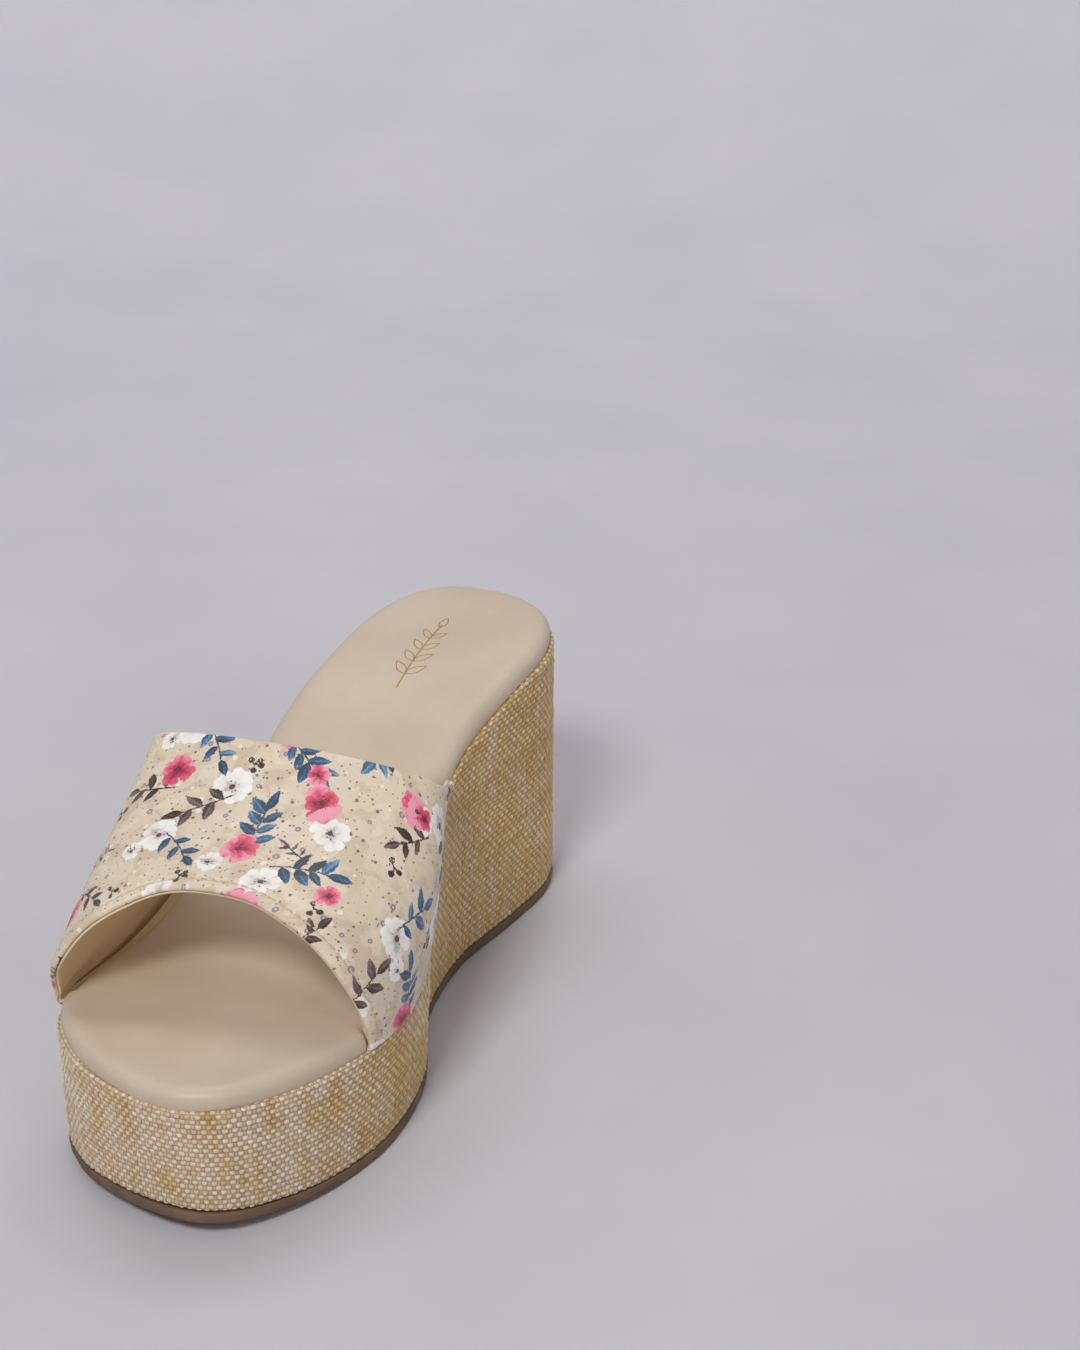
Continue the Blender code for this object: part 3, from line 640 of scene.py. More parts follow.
def make_wrap(material):
    """The woven cover: wall rows level with the ground, cut and folded in at the top edge."""
    strands = 2 * int(round(HALF_GIRTH / STRAND_ACROSS))
    strands -= strands % 4
    columns = strands * len(STRAND_SAMPLES)
    base, inward = outline(1800)
    closed = np.concatenate([base, base[:1]])
    travelled = distance_along(closed)
    across = (np.arange(strands)[:, None] + STRAND_SAMPLES).ravel()
    wanted = across / strands * travelled[-1]
    x, reach = points_at(closed, travelled, wanted).T
    inward_x, inward_y = points_at(np.concatenate([inward, inward[:1]]), travelled, wanted).T

    foot = ground_height(reach) + OUTSOLE_THICK + GAP
    wall = top_height(reach) - FOLD_RADIUS - foot
    straw_rows = int(math.ceil(wall.max() / STRAND_UP)) + 1
    wall_rows = (np.arange(straw_rows)[:, None] + STRAND_SAMPLES).ravel() * STRAND_UP
    climb = [np.minimum(row, wall) for row in np.concatenate([FOOT_ROWS, wall_rows])]
    climb = np.array(climb + [wall + row for row in FOLD_ROWS])
    up = climb / STRAND_UP

    dice = np.random.default_rng(4)
    strand = np.floor(across).astype(int)
    row = np.clip(np.floor(up).astype(int) + ROW_SHIFT, 0, ROW_DRAWS - 1)
    column_lift = dice.uniform(0.8, 1.2, strands)[strand]
    row_lift = dice.uniform(0.8, 1.2, ROW_DRAWS)[row]
    float_lift = dice.uniform(0.62, 1.2, (ROW_DRAWS, strands))[row, strand]
    relief = float_height(across, up) * column_lift * row_lift * float_lift
    relief = (relief - 0.6) * WEAVE_RELIEF
    spread = float_spread(across, up) + waves(wanted, climb, 14, 5.5) * 0.22

    on_wall = np.clip(climb, 0, wall)
    lean = taper_at(x, reach) * (1 - on_wall / (wall + FOLD_RADIUS))
    bend = np.clip((climb - wall) / FOLD_RADIUS, 0, math.pi / 2)
    tuck = np.clip(climb - wall - FOLD_RADIUS * math.pi / 2, 0, None)
    low_bend = np.clip(-climb / FOOT_RADIUS, 0, math.pi / 2)
    low_tuck = np.clip(-climb - FOOT_RADIUS * math.pi / 2, 0, None)
    setback = (lean + FOLD_RADIUS * (1 - np.cos(bend)) + tuck
               + FOOT_RADIUS * (1 - np.cos(low_bend)) + low_tuck)
    height = (foot + on_wall + FOLD_RADIUS * np.sin(bend)
              + FOOT_RADIUS * (1 - np.sin(low_bend)))
    setback = setback - relief * (np.cos(bend) * np.cos(low_bend))
    height = height + relief * (np.sin(bend) - np.sin(low_bend))

    middle = np.sin(math.pi * np.clip(on_wall / wall, 0, 1))
    heelward = 0.25 + 0.75 * ease((reach - 120.0) / 60.0)
    height = height + waves(wanted, climb * 2.2, 11, 46.0) * heelward * middle * 1.3
    height = height + waves(wanted, climb, 15, 6.5) * 0.22 * middle
    height = height + waves(wanted, 0.0, 13, 2.3) * bump_at(climb, 0.0, 0.8) * 0.22
    setback = setback + waves(wanted, climb, 12, 30.0) * 0.12 * middle

    points = np.stack([x + inward_x * setback + inward_y * spread,
                       reach + inward_y * setback - inward_x * spread, height], axis=-1)
    straws = np.stack([np.broadcast_to(across, up.shape), up + ROW_SHIFT], axis=-1)
    work = np.cumsum(wall + FOLDED_IN)
    cuts = [0]
    for share in range(1, len(PANELS)):
        column = int(np.searchsorted(work, work[-1] * share / len(PANELS)))
        cuts.append(column - column % len(STRAND_SAMPLES))
    cuts.append(columns)
    for name, first, last in zip(PANELS, cuts, cuts[1:]):
        numbers = np.arange(first, last + 1)
        chosen = numbers % columns
        uv = straws[:, chosen]
        uv[:, numbers >= columns, 0] = strands
        gone = climb[:, chosen] >= wall[chosen] - 1e-6
        gone[len(FOOT_ROWS) + len(wall_rows):] = False
        faces = grid_faces(len(climb), len(chosen))
        faces = faces[~gone.ravel()[faces].all(axis=1)]
        piece = build_mesh(name, points[:, chosen].reshape(-1, 3), faces, material)
        store_coordinates(piece, "weave", uv.reshape(-1, 2))
        weld_doubles(piece)
        place_piece(piece, "raffia_weave", "wedge_wrap")


# ---------------------------------------------------------------- insole
def strap_zone(x, reach):
    """1 where the strap's ends come up past the insole's edge, 0 clear of them."""
    inner = x > axis_at(reach)
    first = np.where(inner, STRAP_FRONT[0][1] + 0.9, STRAP_FRONT[-1][1] + 0.6)
    last = np.where(inner, STRAP_REAR[0][1] - 2.5, STRAP_REAR[-1][1] - 1.0)
    begun = ease((reach - first + ZONE_BLEND) / ZONE_BLEND)
    return begun * ease((last + ZONE_BLEND - reach) / ZONE_BLEND)


def insole_level(x, reach):
    """Height of the insole's middle: a shallow bed for the foot, deeper at ball and heel."""
    middle = (inner_edge(reach) + outer_edge(reach)) / 2
    half = (inner_edge(reach) - outer_edge(reach)) / 2 + 1e-6
    hollow = np.clip(1 - ((x - middle) / half) ** 2, 0, 1) ** 1.5
    depth = BED_DEPTH
    for deep, centre, width in HOLLOWS:
        depth = depth + deep * bump_at(reach, centre, width)
    soft = waves(x, reach, 21, 44.0) * 0.10 + waves(x, reach, 22, 9.0) * 0.012
    return top_height(reach) + INSOLE_RISE + soft - hollow * depth


def make_insole(material):
    """The padded sock: a rolled edge on the wedge's rim round a shallow bed."""
    outer_rim, inward = outline(SIDE_POINTS)
    zone = strap_zone(*outer_rim.T)
    tucked, least_tucked = -4.5, -4.45
    rim = []
    for distance, drop in INSOLE_EDGE:
        inset = distance + INSOLE_SQUEEZE * zone * (1 - ease(distance / 16.0))
        x, reach = (outer_rim + inward * inset[:, None]).T
        pucker = waves(x, reach, 23, 4.5) * 0.06 * zone * bump_at(distance, 2.5, 4.0)
        low = np.where(drop < tucked, drop + (least_tucked - drop) * zone, drop)
        rim.append(np.column_stack([x, reach, insole_level(x, reach) + low + pucker]))
    points, faces = fill_outline(rim, INSOLE_BED_LINES,
                                 lambda x, reach, from_rim: insole_level(x, reach))
    piece = build_mesh("insole_sock", points, faces, material)
    weld_doubles(piece)
    face_outwards(piece)
    place_piece(piece, "nude_pu", "insole_cover")


def make_heel_sprig(material):
    """A plain leafy twig in thin foil lines on the insole's heel."""
    heading = math.radians(TWIG_HEADING)
    ahead = np.array([math.cos(heading), math.sin(heading)])
    side = np.array([-ahead[1], ahead[0]])

    def on_twig(along, beside):
        return np.array(TWIG_CENTRE) + np.outer(along, ahead) + np.outer(beside, side)

    share = np.linspace(0, 1, 40)
    stem = on_twig(TWIG_LENGTH * (share - 0.5), TWIG_SWAY * np.sin(2.6 * share))
    lines = [(stem, TWIG_STEM)]
    leaves = [(0.96, 0.0, 6.4)]
    for k in range(4):
        leaves += [(0.2 + 0.19 * k, sign * 0.78, 7.2 - 0.5 * k) for sign in (-1, 1)]
    for place, turn, length in leaves:
        start = (TWIG_LENGTH * (place - 0.5), TWIG_SWAY * math.sin(2.6 * place))
        for bulge in (-1, 1):
            along = length * share
            beside = bulge * 0.19 * length * np.sin(math.pi * share**0.85)
            u = start[0] + along * math.cos(turn) - beside * math.sin(turn)
            v = start[1] + along * math.sin(turn) + beside * math.cos(turn)
            lines.append((on_twig(u, v), TWIG_LINE))
    points = []
    faces = []
    for number, (line, half_width) in enumerate(lines):
        step = unit(np.gradient(line, axis=0))
        beside = np.column_stack([-step[:, 1], step[:, 0]])
        rails = []
        for offset, rise in TWIG_RAIL:
            flat = line + beside * offset * half_width
            rails.append(np.column_stack([flat, insole_level(flat[:, 0], flat[:, 1]) + rise]))
        points.append(np.stack(rails, axis=1).reshape(-1, 3))
        faces.append(grid_faces(len(line), 4, wrap=True) + number * len(line) * 4)
    piece = build_mesh("heel_twig", np.concatenate(points), np.concatenate(faces), material)
    face_outwards(piece)
    place_piece(piece, "nude_pu")


# ---------------------------------------------------------------- outsole
def tread_depth(x, reach, from_edge):
    """Wavy grooves under the ball and heel, a fine ribbing under the waist."""
    def within(first, last):
        return ease((reach - first) / ZONE_EDGE) * ease((last - reach) / ZONE_EDGE)

    wave = reach + TREAD_SWAY * np.sin(x / TREAD_SWAY_WIDTH)
    groove = ease((np.sin(2 * math.pi * wave / TREAD_PITCH) - 0.25) / 0.45) * TREAD_DEPTH
    ribbing = ease((np.sin(2 * math.pi * x / RIB_PITCH) - 0.2) / 0.6) * RIB_DEPTH
    depth = groove * (within(*BALL_ZONE) + within(*HEEL_ZONE)) + ribbing * within(*WAIST_ZONE)
    return depth * ease((from_edge - 2.0) / 1.5)


def make_outsole(material):
    """The thin sheet underfoot: an uneven moulded edge round the tread."""
    wall_foot, inward = outline(SIDE_POINTS)
    x, reach = wall_foot.T
    taper = taper_at(x, reach)
    rough = waves(x, reach, 31, 6.0) * 0.12 + waves(x, reach, 32, 1.6) * 0.08
    rim = []
    for distance, rise in OUTSOLE_EDGE:
        unevenness = 1.0 if 0.2 < rise < 3.45 else 0.3
        inset = taper + distance + rough * unevenness
        px, py = (wall_foot + inward * inset[:, None]).T
        rim.append(np.column_stack([px, py, ground_height(py) + rise]))

    def underside(x, reach, from_edge):
        return ground_height(reach) + tread_depth(x, reach, from_edge)

    points, faces = fill_outline(rim, TREAD_LINES, underside)
    piece = build_mesh("outsole_sheet", points, faces, material)
    weld_doubles(piece)
    face_outwards(piece)
    place_piece(piece, "outsole_rubber", "outsole")


# ---------------------------------------------------------------- strap
def strap_surface(turn, share):
    """Outer face of the strap as x, reach and height."""
    front = smooth(STRAP_FRONT, turn)
    reach = front + (smooth(STRAP_REAR, turn) - front) * share
    inner = inner_edge(reach)
    outer = outer_edge(reach) - STRAP_OUTSET
    middle = (inner + outer) / 2 - 1.8
    angle = np.radians(turn)
    boxy = np.where(turn > 90, STRAP_BOXY * np.clip((reach - 40) / 60, 0.0, 1.2), 0.0)
    power = STRAP_POWER - 0.55 * boxy * np.sin(2 * angle) ** 2
    over = np.sign(np.cos(angle)) * np.abs(np.cos(angle)) ** power
    half = np.where(over > 0, inner - middle, middle - outer)
    swell = np.where(over > 0, smooth(STRAP_SWELL_INNER, reach), smooth(STRAP_SWELL_OUTER, reach))
    rise = smooth(STRAP_RISE, reach) * np.sin(angle) ** (STRAP_POWER - boxy)
    return np.stack([middle + half * over + swell * np.sin(2 * angle), reach,
                     top_height(reach) + rise], axis=-1)


def tucked_rows(turn, shares):
    """Rows from under the insole out to the wall: flat, then a quarter bend up."""
    wall = strap_surface(np.full(len(shares), turn), shares)
    reach = wall[:, 1]
    edge, sign = (inner_edge, 1) if turn < 90 else (outer_edge, -1)
    slope = (edge(reach + 1) - edge(reach - 1)) / 2
    inward = unit(np.stack([-np.ones_like(slope), slope], axis=1) * sign)
    places = [(distance, GAP) for distance in (8.0, 6.0, 4.5, 3.0)]
    for bend in np.radians([0, 15, 30, 45, 60, 75]):
        places.append((STRAP_BEND * (1 - math.sin(bend)), GAP + STRAP_BEND * (1 - math.cos(bend))))
    rows = []
    for distance, rise in places:
        flat = wall[:, :2] + inward * distance
        rows.append(np.column_stack([flat, top_height(flat[:, 1]) + rise]))
    return np.array(rows)


def strap_turns(count):
    """Turns that step evenly along the strap's middle line."""
    turn = np.linspace(*STRAP_ENDS, 3000)
    travelled = distance_along(strap_surface(turn, np.full(3000, 0.5)))
    return np.interp(np.linspace(0, travelled[-1], count), travelled, turn)


def strap_grid(count, edge_steps, middle_steps):
    """Points of the strap's outer face, row by row over the foot, and what is known of each.

    edge_steps are distances in from each edge.  "behind" is the distance behind the front edge,
    "over" a row's distance from the crown, positive towards the inner side, and "skive" the
    share of the layers' thickness left in the tucked ends.
    """
    turns = strap_turns(count)
    shares = np.linspace(0, 1, 81)
    wall = strap_surface(turns[:, None], shares)
    first = tucked_rows(turns[0], shares)
    last = tucked_rows(turns[-1], shares)[::-1]
    tucked = len(first)
    edge_steps = np.array(edge_steps)
    points, behind, widths = [], [], []
    for line in np.concatenate([first, wall, last]):
        travelled = distance_along(line)
        width = travelled[-1]
        inner = np.linspace(edge_steps[-1], width - edge_steps[-1], middle_steps + 2)[1:-1]
        wanted = np.concatenate([edge_steps, inner, width - edge_steps[::-1]])
        points.append(points_at(line, travelled, wanted))
        behind.append(wanted)
        widths.append(width)
    points = np.array(points)
    normals = unit(np.cross(np.gradient(points, axis=1), np.gradient(points, axis=0)))
    travelled = distance_along(points[:, points.shape[1] // 2])
    crown = np.interp(90.0, turns, travelled[tucked:-tucked])
    number = np.arange(len(points))
    from_end = np.minimum(number, number[::-1])
    skive = SKIVE + (1 - SKIVE) * ease((from_end - tucked) / 6.0)
    return {"points": points, "normals": normals, "behind": np.array(behind),
            "width": np.array(widths), "over": crown - travelled, "skive": skive,
            "turn": np.pad(turns, tucked, mode="edge"), "tucked": tucked}


def sample_across(grid, distances):
    """Points of the outer face at a distance behind the front edge, one per row."""
    rows = zip(grid["points"], grid["behind"], distances)
    return np.array([points_at(line, behind, distance) for line, behind, distance in rows])


def edge_profile(distance, over, stitched):
    """Height of the strap's face near an edge: rolled rim, puffed hem and stitch groove."""
    inside = np.clip(RIM_RADIUS - distance, 0, RIM_RADIUS)
    rim = np.sqrt(RIM_RADIUS**2 - inside**2) - RIM_RADIUS
    across_hem = np.clip((distance - 0.3) / HEM_WIDTH, 0, 1)
    puff = HEM_PUFF * np.clip(np.sin(math.pi * across_hem), 0, 1) ** 0.8
    if not stitched:
        return rim + 0.5 * puff
    pull = 0.72 + 0.28 * np.cos(2 * math.pi * over / STITCH_PITCH)
    groove = GROOVE_DEPTH * bump_at(distance, THREAD_SETBACK, GROOVE_WIDTH) * pull
    swell = 0.10 * bump_at(distance, 5.4, 1.0)
    return rim + puff * (0.9 + 0.1 * pull) - groove + swell


def make_strap(material):
    """The printed band: dense outer face, rolled edges and the start of the hems."""
    grid = strap_grid(STRAP_ROWS, EDGE_STEPS, STRAP_MIDDLE)
    points, normals, behind = grid["points"], grid["normals"], grid["behind"]
    width, skive = grid["width"], grid["skive"][:, None]
    over = np.repeat(grid["over"][:, None], points.shape[1], axis=1)
    lift = (edge_profile(behind, over, True)
            + edge_profile(width[:, None] - behind, over, False))
    lift = lift + waves(over, behind, 41, 34.0) * 0.16 + waves(over, behind, 42, 11.0) * 0.03
    face = points + normals * (lift * skive)[:, :, None]

    front, rear = [], []
    for distance, depth in HEM_STEPS:
        inset = sample_across(grid, np.full(len(points), distance))
        front.insert(0, inset - normals[:, 0] * (depth * skive))
        inset = sample_across(grid, width - distance)
        rear.append(inset - normals[:, -1] * (depth * skive))
    whole = np.concatenate([np.stack(front, axis=1), face, np.stack(rear, axis=1)], axis=1)
    rows, columns = whole.shape[:2]
    piece = build_mesh("strap_band", whole.reshape(-1, 3), grid_faces(rows, columns), material)
    face_outwards(piece)

    along = behind + smooth(STRAP_FRONT, grid["turn"])[:, None]
    round_edge = np.array([distance + depth for distance, depth in HEM_STEPS])
    along = np.concatenate([along[:, :1] - round_edge[::-1], along,
                            along[:, -1:] + round_edge], axis=1).ravel()
    over = np.repeat(grid["over"], columns)
    for name, fields in paint_print(over, along).items():
        store_columns(piece, name, fields)
    store_coordinates(piece, "flat", np.column_stack([over, along]))
    place_piece(piece, "printed_pu", "strap_upper")
    return grid, face


def make_lining(material):
    """The band's inner side: a thin closed layer, turned up a little at the front edge."""
    grid = strap_grid(LINING_ROWS, LINING_STEPS, LINING_MIDDLE)
    behind = grid["behind"]
    normals = grid["normals"] * grid["skive"][:, None, None]
    over = np.repeat(grid["over"][:, None], behind.shape[1], axis=1)
    ripple = waves(over, behind, 51, 22.0) * 0.05
    turned = LIP_RISE * np.clip(1 - behind / LIP_WIDTH, 0, 1)
    hidden = grid["points"] - normals * (LINING_TOP + ripple)[:, :, None]
    shown = grid["points"] - normals * (LINING_BOTTOM - turned + ripple)[:, :, None]
    loop = np.concatenate([hidden, shown[:, ::-1]], axis=1)
    rows, columns = loop.shape[:2]
    piece = build_mesh("strap_inner_lining", loop.reshape(-1, 3),
                       grid_faces(rows, columns, wrap=True), material)
    face_outwards(piece)
    place_piece(piece, "tan_lining", "strap_lining")


def make_stitches(material, grid, face):
    """One raised stitch after another along the strap's front edge."""
    column = EDGE_STEPS.index(THREAD_SETBACK)
    rows = slice(grid["tucked"], -grid["tucked"])
    line = face[rows, column]
    normal = grid["normals"][rows, column]
    travelled = distance_along(line)
    share = np.linspace(0, 1, STITCH_STEPS)
    angle = np.linspace(0, 2 * math.pi, STITCH_SIDES, endpoint=False)[:, None]
    points = []
    faces = []
    for k in range(int((travelled[-1] - STITCH_PITCH) / STITCH_PITCH)):
        start = (k + 0.5) * STITCH_PITCH + STITCH_GAP / 2
        at = start + share * (STITCH_PITCH - STITCH_GAP)
        centre = points_at(line, travelled, at)
        up = unit(points_at(normal, travelled, at))
        side = np.cross(unit(np.gradient(centre, axis=0)), up)
        rise = STITCH_RISE * np.sin(math.pi * share) ** 0.6 - STITCH_SINK
        centre = centre + up * rise[:, None]
        radius = STITCH_RADIUS + STITCH_SWELL * np.sin(math.pi * share) ** 0.5
        round_it = np.cos(angle) * side[:, None] + np.sin(angle) * up[:, None] * 0.8
        points.append((centre[:, None] + radius[:, None, None] * round_it).reshape(-1, 3))
        base = k * STITCH_STEPS * STITCH_SIDES
        faces.append(grid_faces(STITCH_STEPS, STITCH_SIDES, wrap=True) + base)
        faces.append(STITCH_CAP + base)
        faces.append(STITCH_CAP + base + (STITCH_STEPS - 1) * STITCH_SIDES)
    piece = build_mesh("front_edge_stitches", np.concatenate(points), np.concatenate(faces),
                       material)
    face_outwards(piece)
    place_piece(piece, "tan_thread", "front_edge_thread")


# ---------------------------------------------------------------- floral print
# The print is laid out flat, in mm: over the foot from its crown, positive towards the inner
# side, and along the foot from the toe.  Small bouquets stand on a staggered grid, each turned
# and shifted by dice.  A bouquet lists kind, distance and bearing from its middle, size, extra
# turn and pairs of leaves (or number of berries).
BOUQUET_PITCH = (27.0, 21.0)
BOUQUET_START = 22.0
BOUQUET_SHIFT = 3.0
BOUQUET_ROWS, BOUQUET_COLUMNS = range(7), range(-4, 5)
BOUQUETS = [
    [("pink", 0, 0, 5.6, 0, 0), ("blue", 12, 0, 20, 10, 3), ("white", 9, 150, 3.8, 0, 0)],
    [("white", 0, 0, 6.0, 0, 0), ("brown", 12, 0, 19, -15, 2), ("berries", 9, 200, 0, 0, 4)],
    [("blue", 0, 0, 21, 90, 3), ("pink", 9, 40, 3.6, 0, 0), ("fine", 12, 230, 10, 0, 2)],
    [("pink", 0, 0, 5.6, 0, 0), ("pink", 9, 60, 3.6, 0, 0), ("white", 10, 250, 5.4, 0, 0)],
    [("white", 0, 0, 5.8, 0, 0), ("blue", 12, 180, 18, -10, 2), ("white", 9, 70, 3.6, 0, 0)],
    [("brown", 0, 0, 16, 80, 2), ("pink", 10, 300, 5.0, 0, 0), ("berries", 9, 120, 0, 0, 3)],
]
OUTSIDE = -6.0                            # depth of a point that no motif is near
LEAF_SLIM, FINE_LEAF_SLIM = 0.42, 0.28    # a leaf's width as a share of its length


def lay_out_print():
    """Every motif of the print as kind, place, size, heading and count."""
    dice = np.random.default_rng(17)
    motifs = []
    for row in BOUQUET_ROWS:
        for column in BOUQUET_COLUMNS:
            over = BOUQUET_PITCH[0] * (column + 0.5 * (row % 2))
            along = BOUQUET_START + BOUQUET_PITCH[1] * row
            middle = [line + dice.uniform(-1, 1) * BOUQUET_SHIFT for line in (over, along)]
            turn = dice.uniform(0, 2 * math.pi)
            bouquet = BOUQUETS[(2 * column + 3 * row) % len(BOUQUETS)]
            for kind, away, bearing, size, extra, count in bouquet:
                toward = turn + math.radians(bearing)
                place = place_from(middle, away, toward)
                motifs.append((kind, place, size, toward + math.radians(extra), count))
    return motifs


class Print:
    """How far each point lies inside the motifs of each colour, in mm; negative is outside."""

    def __init__(self, over, along):
        self.over = over
        self.along = along
        self.depth = {name: np.full(len(over), OUTSIDE)
                      for name in ("white", "pink", "heart", "blue", "brown")}
        self.petal_tone = np.zeros(len(over))
        self.leaf_tone = np.zeros(len(over))
        self.dice = np.random.default_rng(8)

    def nearby(self, at, heading, reach):
        """Points within reach of a place, with their place along and beside a heading."""
        dx = self.over - at[0]
        dy = self.along - at[1]
        chosen = np.nonzero(dx * dx + dy * dy < reach * reach)[0]
        dx, dy = dx[chosen], dy[chosen]
        c, s = math.cos(heading), math.sin(heading)
        return chosen, dx * c + dy * s, dy * c - dx * s

    def add(self, colour, chosen, depth, tone):
        """Lay a motif over the chosen points that it covers more deeply than the others do."""
        field = self.depth[colour]
        better = depth > field[chosen]
        chosen = chosen[better]
        field[chosen] = depth[better]
        store = self.petal_tone if colour in ("white", "pink") else self.leaf_tone
        store[chosen] = tone[better]

    def dot(self, colour, at, radius, hole=0.0):
        chosen, u, v = self.nearby(at, 0.0, radius + 2)
        away = np.hypot(u, v)
        depth = radius - away
        if hole:
            depth = np.minimum(depth, away - hole)
        self.add(colour, chosen, depth, np.full(len(chosen), 0.3))

    def petal(self, colour, at, heading, length, width, wash):
        """A rounded petal with a notched tip, darker along its rib and towards its foot."""
        chosen, u, v = self.nearby(at, heading, length + 2.5)
        middle = 0.52 * length
        body = 1 - np.hypot((u - middle) / (0.44 * length), v / (0.42 * width))
        body = body * 0.36 * width
        lobe = 0.29 * width
        for side in (-1, 1):
            away = np.hypot(u - 0.74 * length, v - side * 0.25 * width)
            body = np.maximum(body, lobe - away)
        rib = 0.25 * np.clip(1 - np.abs(v) / (0.16 * width), 0, 1)
        tone = 0.85 * np.clip(np.hypot(u, v) / length, 0, 1.2) - rib + wash
        self.add(colour, chosen, body, tone)

    def blossom(self, colour, at, radius, heading):
        """Five uneven petals round a dark heart, each with its own strength of colour."""
        petals = 5
        pale = self.dice.uniform(-0.05, 0.15)
        for k in range(petals):
            turn = heading + 2 * math.pi * k / petals + self.dice.uniform(-0.2, 0.2)
            length = radius * self.dice.uniform(0.82, 1.14)
            width = length * self.dice.uniform(0.84, 1.02)
            self.petal(colour, at, turn, length, width, pale + self.dice.uniform(-0.2, 0.3))
        self.dot("heart", at, 0.13 * radius + 0.1)
        for k in range(7):
            turn = heading + k * 0.9 + self.dice.uniform(-0.25, 0.25)
            spot = place_from(at, radius * self.dice.uniform(0.2, 0.42), turn)
            self.dot("heart", spot, self.dice.uniform(0.18, 0.34))

    def leaf(self, colour, at, heading, length, width):
        """A pointed leaf with a paler vein and one side lighter than the other."""
        chosen, u, v = self.nearby(at, heading, length + 2.5)
        share = np.clip(u / length, 0, 1)
        half = 0.5 * width * np.sin(math.pi * share**0.82) ** 0.85
        depth = (half - np.abs(v)) * 0.9
        past = np.maximum(u - length, -u)
        depth = np.where(past > 0, -np.hypot(past, v), depth)
        vein = 0.5 * np.clip(1 - np.abs(v) / 0.3, 0, 1)
        side = np.where(v > 0, 0.16, 0.0)
        tone = self.dice.uniform(0.0, 0.5) + 0.25 * share + side + vein
        self.add(colour, chosen, depth, tone)

    def stem(self, colour, start, end, sag):
        """A thin curved line between two places."""
        start, end = np.array(start), np.array(end)
        across = np.array([start[1] - end[1], end[0] - start[0]])
        bend = (start + end) / 2 + across * sag
        share = np.linspace(0, 1, 9)[:, None]
        path = start * (1 - share) ** 2 + 2 * bend * share * (1 - share) + end * share**2
        reach = np.linalg.norm(end - start) + 2
        chosen, u, v = self.nearby((start + end) / 2, 0.0, reach)
        place = np.column_stack([u, v]) + (start + end) / 2
        away = np.full(len(chosen), 9.0)
        for a, b in zip(path, path[1:]):
            step = b - a
            t = np.clip((place - a) @ step / (step @ step), 0, 1)
            away = np.minimum(away, np.linalg.norm(place - a - t[:, None] * step, axis=1))
        self.add(colour, chosen, 0.24 - away, np.full(len(chosen), 0.1))

    def sprig(self, colour, at, size, heading, pairs, slim=LEAF_SLIM):
        """A stem with leaves in pairs and one at its tip, centred on a place."""
        ahead = np.array([math.cos(heading), math.sin(heading)])
        base = np.array(at, float) - ahead * size * 0.60
        tip = np.array(at, float) + ahead * size * 0.16
        self.stem(colour, base, tip, 0.06)
        long_leaf = size * (0.35 if pairs > 1 else 0.44)
        turn = heading + self.dice.uniform(-0.2, 0.2)
        self.leaf(colour, tip, turn, long_leaf, long_leaf * slim)
        for k in range(pairs):
            share = 0.30 + 0.62 * k / max(pairs - 0.5, 1)
            for sign in (-1, 1):
                place = base + (tip - base) * (share + 0.10 * sign)
                length = long_leaf * self.dice.uniform(0.82, 1.08)
                turn = heading + sign * self.dice.uniform(0.80, 1.15)
                width = length * slim * self.dice.uniform(0.9, 1.15)
                self.leaf(colour, place, turn, length, width)

    def berries(self, at, count):
        """Berries on short stems, every second one hollow."""
        for k in range(count):
            spot = place_from(at, 2.0, 2.4 * k)
            self.stem("brown", at, spot, 0.1)
            self.dot("brown", spot, 0.95, hole=0.42 if k % 2 else 0.0)


def paint_print(over, along):
    """Depths inside the motifs and their tones, under the names that the material reads."""
    art = Print(over + waves(over, along, 61, 2.6) * 0.22,
                along + waves(over, along, 62, 2.6) * 0.22)
    for kind, place, size, heading, count in lay_out_print():
        if kind in ("white", "pink"):
            art.blossom(kind, place, size, heading)
        elif kind == "berries":
            art.berries(place, count)
        elif kind == "fine":
            art.sprig("brown", place, size, heading, count, FINE_LEAF_SLIM)
        else:
            art.sprig(kind, place, size, heading, count)
    return {"flowers": [art.depth["white"], art.depth["pink"], art.depth["heart"]],
            "leaves": [art.depth["blue"], art.depth["brown"]],
            "tones": [art.petal_tone, art.leaf_tone]}


# ---------------------------------------------------------------- stage, in metres
SWEEP_FLOOR, SWEEP_BEND, SWEEP_HEIGHT = 0.7, 0.6, 1.3
SWEEP_LEVEL = -0.0002                     # just under the sole
SKY_COLOUR, SKY_STRENGTH = (0.95, 0.955, 1.0, 1.0), 0.19
DAYLIGHT, CLOUD = (1.0, 0.985, 0.965), (0.99, 0.99, 1.0)
LIGHTS = [
    # name, place, target, size, power, colour
    ("window", (0.10, -0.95, 1.18), (0, 0, 0.03), (0.36, 0.30), 10.3, DAYLIGHT),
    ("doorway", (1.20, -0.6, 0.55), (0, 0, 0.04), (1.0, 0.8), 5.2, DAYLIGHT),
    ("bounce", (0.45, -1.35, 0.35), (0, -0.1, 0.03), (0.8, 0.5), 4.0, DAYLIGHT),
    ("backdrop", (-0.2, 0.6, 1.50), (-0.5, 1.25, 0.2), (1.2, 0.8), 10.5, CLOUD),
]
CAMERA_PLACE = (0.2899, -0.5671, 0.4165)
CAMERA_FORWARD = (-0.3292, 0.8375, -0.4359)
CAMERA_ROLL = -0.015
CAMERA_LENS, CAMERA_SENSOR = 66.1, 36.0   # mm


